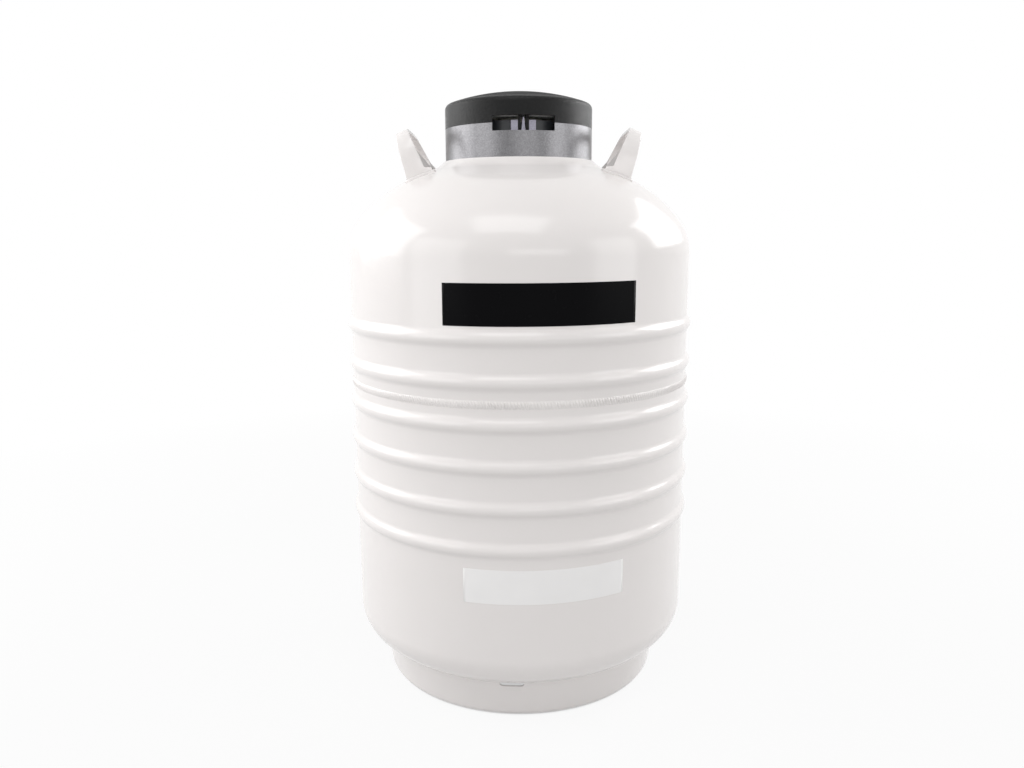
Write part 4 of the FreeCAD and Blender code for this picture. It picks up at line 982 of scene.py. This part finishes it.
class DEWAR_OT_lock(DewarOperator):
    """Makes the collar and the lid with their window, and the hasp's blocks, fin and lugs"""

    bl_idname = "dewar.lock"
    bl_label = "Collar and lid"

    skin = 2e-5  # what the window leaves over the deck
    sunk = 0.0003  # how far the lugs reach into the lid's crown

    def execute(self, context):
        lock, shell = context.scene.dewar_lock, context.scene.dewar_shell
        collar = spun("collar_ring", self.collar(lock, ShellSection(shell).ledge), shell.steps)
        cut(collar, self.window(lock, lock.deck + self.skin, lock.deck + lock.side))
        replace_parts(rounded(collar, lock.rounding), "collar")
        dress(collar, "collar_plastic")
        sides, lug_top = self.lid(lock)
        lid = spun("lid_dome", sides, shell.steps, closed=False)
        cut(lid, self.window(lock, lock.seam - lock.rim * 2, lock.seam + lock.head))
        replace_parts(rounded(lid, lock.rounding), "lid_cap")
        dress(lid, "lid_plastic", body=LID)

        foot = lock.deck - lock.deck_sheet / 2
        block = lock.block_start, lock.block_start + lock.block
        block_height = foot, lock.deck + lock.block_height
        lug = lock.lug_start, lock.lug_start + lock.lug
        lug_height = lock.deck + lock.lug_clear, lug_top
        for side, name in SIDES:
            hasp_block = self.part(lock, "hasp_block_" + name, side, block, block_height)
            dress(hasp_block, "hasp_plastic", "collar_plastic")
            lid_lug = self.part(lock, "lid_lug_" + name, side, lug, lug_height)
            dress(lid_lug, "lid_plastic", body=LID)
        width, height = (-lock.fin / 2, lock.fin / 2), (foot, lock.deck + lock.fin_height)
        fin = self.part(lock, "hasp_fin", 1, width, height, lock.fin_tip / lock.fin)
        dress(fin, "hasp_plastic", "collar_plastic")
        return {"FINISHED"}

    @staticmethod
    def collar(lock, ledge):
        """The collar's half section, a wall with a deck inside."""
        inner, flange = lock.collar - lock.wall, lock.deck - lock.deck_sheet
        outline = Outline(inner, ledge).line(lock.collar, ledge).line(lock.collar, lock.seam)
        outline.line(inner, lock.seam).line(inner, lock.deck).line(lock.deck_bore, lock.deck)
        return outline.line(lock.deck_bore, flange).line(inner, flange).points

    def lid(self, lock):
        """The lid's half section, and the height of its inside over the lugs."""
        top = lock.seam + lock.side
        reach = lock.collar - lock.edge
        bend, inner_edge = lock.crown - lock.edge, lock.edge - lock.wall
        inner_crown = lock.crown - lock.wall
        dome = top - math.sqrt(bend ** 2 - reach ** 2)
        joins = [
            (reach * crown / bend, (top - dome) * crown / bend + dome)
            for crown in (lock.crown, inner_crown)
        ]
        rim = lock.collar - lock.wall - lock.rim_gap
        rim_inner = rim - lock.wall
        outline = Outline(0, dome + inner_crown)
        outline.arc(*joins[1], inner_crown, -1, CHORD_WIDE)
        outline.arc(lock.collar - lock.wall, top, inner_edge, -1)
        outline.line(lock.collar - lock.wall, lock.liner).line(rim_inner, lock.liner)
        outline.line(rim_inner, lock.seam - lock.rim).line(rim, lock.seam - lock.rim)
        outline.line(rim, lock.seam).line(lock.collar, lock.seam).line(lock.collar, top)
        outline.arc(*joins[0], lock.edge, 1, CHORD_SMALL)
        outline.arc(0, dome + lock.crown, lock.crown, 1, CHORD_WIDE)
        lug_top = dome + math.sqrt(inner_crown ** 2 - lock.outer ** 2) + self.sunk
        return outline.points, lug_top

    @staticmethod
    def window(lock, low, high):
        """The block that cuts the lock window between two heights."""
        half, reach = lock.window / 2, lock.collar + lock.wall
        return block("window", (-half, -reach, low), (half, -lock.inner, high), lock.turn)

    @staticmethod
    def part(lock, name, side, width, height, taper=1.0):
        """One part of the hasp, bored for the padlock; taper narrows its top."""
        left, right = sorted(edge * side for edge in width)
        low, high = height
        piece = block(name, (left, -lock.outer, low), (right, -lock.inner, high), 0)
        middle = (left + right) / 2
        for vertex in piece.data.vertices:
            if vertex.co.z > (low + high) / 2:
                vertex.co.x = middle + (vertex.co.x - middle) * taper
        mesh = bmesh.new()
        centre = (0, -(lock.outer + lock.inner) / 2, lock.deck + lock.bore_height)
        across = Matrix.Translation(centre) @ Matrix.Rotation(math.pi / 2, 4, "Y")
        bmesh.ops.create_cone(
            mesh, cap_ends=True, segments=48, radius1=lock.bore / 2, radius2=lock.bore / 2,
            depth=lock.window, matrix=across,
        )
        cut(piece, finish_mesh("bore", mesh))
        piece.data.transform(Matrix.Rotation(lock.turn, 4, "Z"))
        return rounded(piece, lock.rounding)


class DEWAR_OT_fittings(DewarOperator):
    """Rounds the edges of the foot, the index ring and the vacuum port's cap"""

    bl_idname = "dewar.fittings"
    bl_label = "Foot and small parts"

    def execute(self, context):
        for node, name, finish, width in (
            ("foot_ring", "foot_band", "shell_paint", 0.0006),
            ("index_ring", "hanger_index", "index_plastic", 0.0003),
            ("vacuum_cap", "port_cap", "cap_plastic", 0.0004),
        ):
            dress(softened(node, name, width), finish)
        return {"FINISHED"}


class DEWAR_OT_labels(DewarOperator):
    """Lays the two label films on the wall"""

    bl_idname = "dewar.labels"
    bl_label = "Labels"
    steps = 64

    def execute(self, context):
        labels = context.scene.dewar_labels
        radius = context.scene.dewar_shell.wall_radius
        for name, low, high, left, right in (
            ("band", labels.band_low, labels.band_high, labels.band_left, labels.band_right),
            ("strip", labels.strip_low, labels.strip_high, labels.strip_left, labels.strip_right),
        ):
            inner, outer = radius - labels.film, radius + labels.film
            outline = Outline(outer, low)
            outline.line(outer, high).line(inner, high).line(inner, low)
            ends = {"start": FRONT + left, "sweep": right - left}
            piece = spun(name + "_label", outline.points, self.steps, **ends)
            mesh = bmesh.new()
            mesh.from_mesh(piece.data)
            bmesh.ops.holes_fill(mesh, edges=[edge for edge in mesh.edges if edge.is_boundary])
            turn_outwards(mesh)
            mesh.to_mesh(piece.data)
            mesh.free()
            dress(piece, name + "_film", "shell_paint")
        return {"FINISHED"}


# Name, azimuth and elevation in degrees, distance, width, height and level of each lamp
LAMPS = (
    ("box_left", -98, 22, 1.7, 1.45, 1.30, 3.0),
    ("box_right", 113, 25, 1.7, 1.20, 0.95, 4.2),
    ("box_front", 12, 10, 2.4, 1.50, 0.40, 1.8),
    ("box_top", -8, 58, 1.9, 1.20, 1.00, 2.4),
    ("fill_left", -52, 12, 2.4, 1.50, 1.50, 1.5),
    ("fill_right", 62, 12, 2.4, 1.30, 1.30, 1.8),
)
LAMP_TARGET = Vector((0, 0, 0.5))
AMBIENT = 0.43
WHITE = (1, 1, 1, 1)

FLOOR_TONE = (0.62, 0.62, 0.62, 1)
FLOOR_DROP = 0.0004  # keeps the floor clear of the foot
FLOOR_NEAR = 0.91  # whiteness round the vessel, as the camera sees it
FLOOR_UNDER = 0.6  # share of that whiteness under the vessel
FLOOR_FADE = (0.12, 0.3)  # where it turns fully white, in shares of the floor's radius


class DEWAR_OT_stage(DewarOperator):
    """Sets the floor, the lamps, the world and the camera"""

    bl_idname = "dewar.stage"
    bl_label = "Stage"

    def execute(self, context):
        stage = context.scene.dewar_stage
        self.floor(stage)
        self.world(context.scene)
        self.lamps()
        self.camera(context.scene, stage)
        context.scene.view_settings.view_transform = "Standard"
        return {"FINISHED"}

    def floor(self, stage):
        mesh = bmesh.new()
        bmesh.ops.create_circle(mesh, cap_ends=True, radius=stage.floor, segments=96)
        bmesh.ops.inset_region(mesh, faces=mesh.faces, thickness=stage.floor / 2)
        bmesh.ops.translate(mesh, verts=mesh.verts, vec=(0, 0, -FLOOR_DROP))
        floor = finish_mesh("floor", mesh)
        finish = Finish("floor_white")
        away = finish.add("VectorMath", {"operation": "LENGTH"}, {0: finish.point}, "Value")
        fade = finish.ramp(away / stage.floor, *FLOOR_FADE)
        cover = FLOOR_NEAR + fade * (1 - FLOOR_NEAR)
        cover = cover * (FLOOR_UNDER + away.above(stage.covered) * (1 - FLOOR_UNDER))
        plain = finish.add("BsdfDiffuse", sockets={"Color": FLOOR_TONE})
        white = finish.add("Emission", sockets={"Color": WHITE, "Strength": 1.0})
        shader = finish.add("MixShader", sockets={0: finish.seen() * cover, 1: plain, 2: white})
        finish.add_output(shader)
        floor.data.materials.append(finish.material)

    def world(self, scene):
        finish = Finish("studio", "worlds")
        ambient, white = (
            finish.add("Background", sockets={"Color": WHITE, "Strength": strength})
            for strength in (AMBIENT, 1.0)
        )
        shader = finish.add("MixShader", sockets={0: finish.seen(), 1: ambient, 2: white})
        finish.add_output(shader, "World")
        scene.world = finish.material

    def lamps(self):
        """Two large side boxes, a strip in front, a top light and two weak fills."""
        for name, azimuth, elevation, distance, width, height, level in LAMPS:
            light = bpy.data.lights.new(name, "AREA")
            light.shape = "RECTANGLE"
            light.size = width
            light.size_y = height
            light.energy = level * width * height * math.pi
            lamp = bpy.data.objects.new(name, light)
            turn, lift = math.radians(azimuth), math.radians(elevation)
            away = Vector((
                math.sin(turn) * math.cos(lift), -math.cos(turn) * math.cos(lift), math.sin(lift)
            ))
            aim = away.to_track_quat("Z", "Y").to_matrix().to_4x4()
            lamp.matrix_world = Matrix.Translation(LAMP_TARGET + away * distance) @ aim
            bpy.context.scene.collection.objects.link(lamp)

    def camera(self, scene, stage):
        """A camera at the eye, turned by its pitch, yaw and roll."""
        pitch, yaw, roll = stage.pitch, stage.yaw, stage.roll
        ahead = Vector((
            math.sin(yaw) * math.cos(pitch), math.cos(yaw) * math.cos(pitch), -math.sin(pitch)
        ))
        right = Vector((math.cos(yaw), -math.sin(yaw), 0))
        above = right.cross(ahead)
        across = math.cos(roll) * right + math.sin(roll) * above
        upright = math.cos(roll) * above - math.sin(roll) * right
        lens = bpy.data.cameras.new("camera")
        lens.sensor_width = 36
        lens.lens = stage.focal_pixels / PICTURE_WIDTH * lens.sensor_width
        camera = bpy.data.objects.new("camera", lens)
        turn = Matrix((across, upright, -ahead)).transposed().to_4x4()
        camera.matrix_world = Matrix.Translation(stage.eye) @ turn
        scene.collection.objects.link(camera)
        scene.camera = camera


STEPS = (
    DEWAR_OT_finishes, DEWAR_OT_shell, DEWAR_OT_welds, DEWAR_OT_handles, DEWAR_OT_lock,
    DEWAR_OT_fittings, DEWAR_OT_labels, DEWAR_OT_stage,
)


class DEWAR_PT_panel(bpy.types.Panel):
    """Lists the dewar's sizes, colours and steps"""

    bl_idname = "DEWAR_PT_panel"
    bl_label = "Storage dewar"
    bl_space_type = "VIEW_3D"
    bl_region_type = "UI"
    bl_category = "Dewar"

    def draw(self, context):
        for name in GROUPS:
            box = self.layout.box()
            box.label(text=name.replace("_", " ").capitalize())
            group = getattr(context.scene, name)
            for field in group.__annotations__:
                box.prop(group, field)
        for step in STEPS:
            self.layout.operator(step.bl_idname)


GROUPS = {
    "dewar_shell": ShellSizes,
    "dewar_welds": WeldSizes,
    "dewar_handles": HandleSizes,
    "dewar_lock": LockSizes,
    "dewar_labels": LabelSizes,
    "dewar_colours": Colours,
    "dewar_stage": StageSizes,
}


def register():
    for group in GROUPS.values():
        bpy.utils.register_class(group)
    for cls in STEPS + (DEWAR_PT_panel,):
        bpy.utils.register_class(cls)
    for name, group in GROUPS.items():
        setattr(bpy.types.Scene, name, PointerProperty(type=group))


def unregister():
    for name in GROUPS:
        delattr(bpy.types.Scene, name)
    for cls in (DEWAR_PT_panel,) + STEPS:
        bpy.utils.unregister_class(cls)
    for group in GROUPS.values():
        bpy.utils.unregister_class(group)


def corners(bounds):
    return [list(corner) for corner in bounds]


def main():
    register()
    for step in STEPS:
        group, name = step.bl_idname.split(".")
        getattr(getattr(bpy.ops, group), name)()
    bpy.context.view_layer.update()


if __name__ == "__main__":
    main()
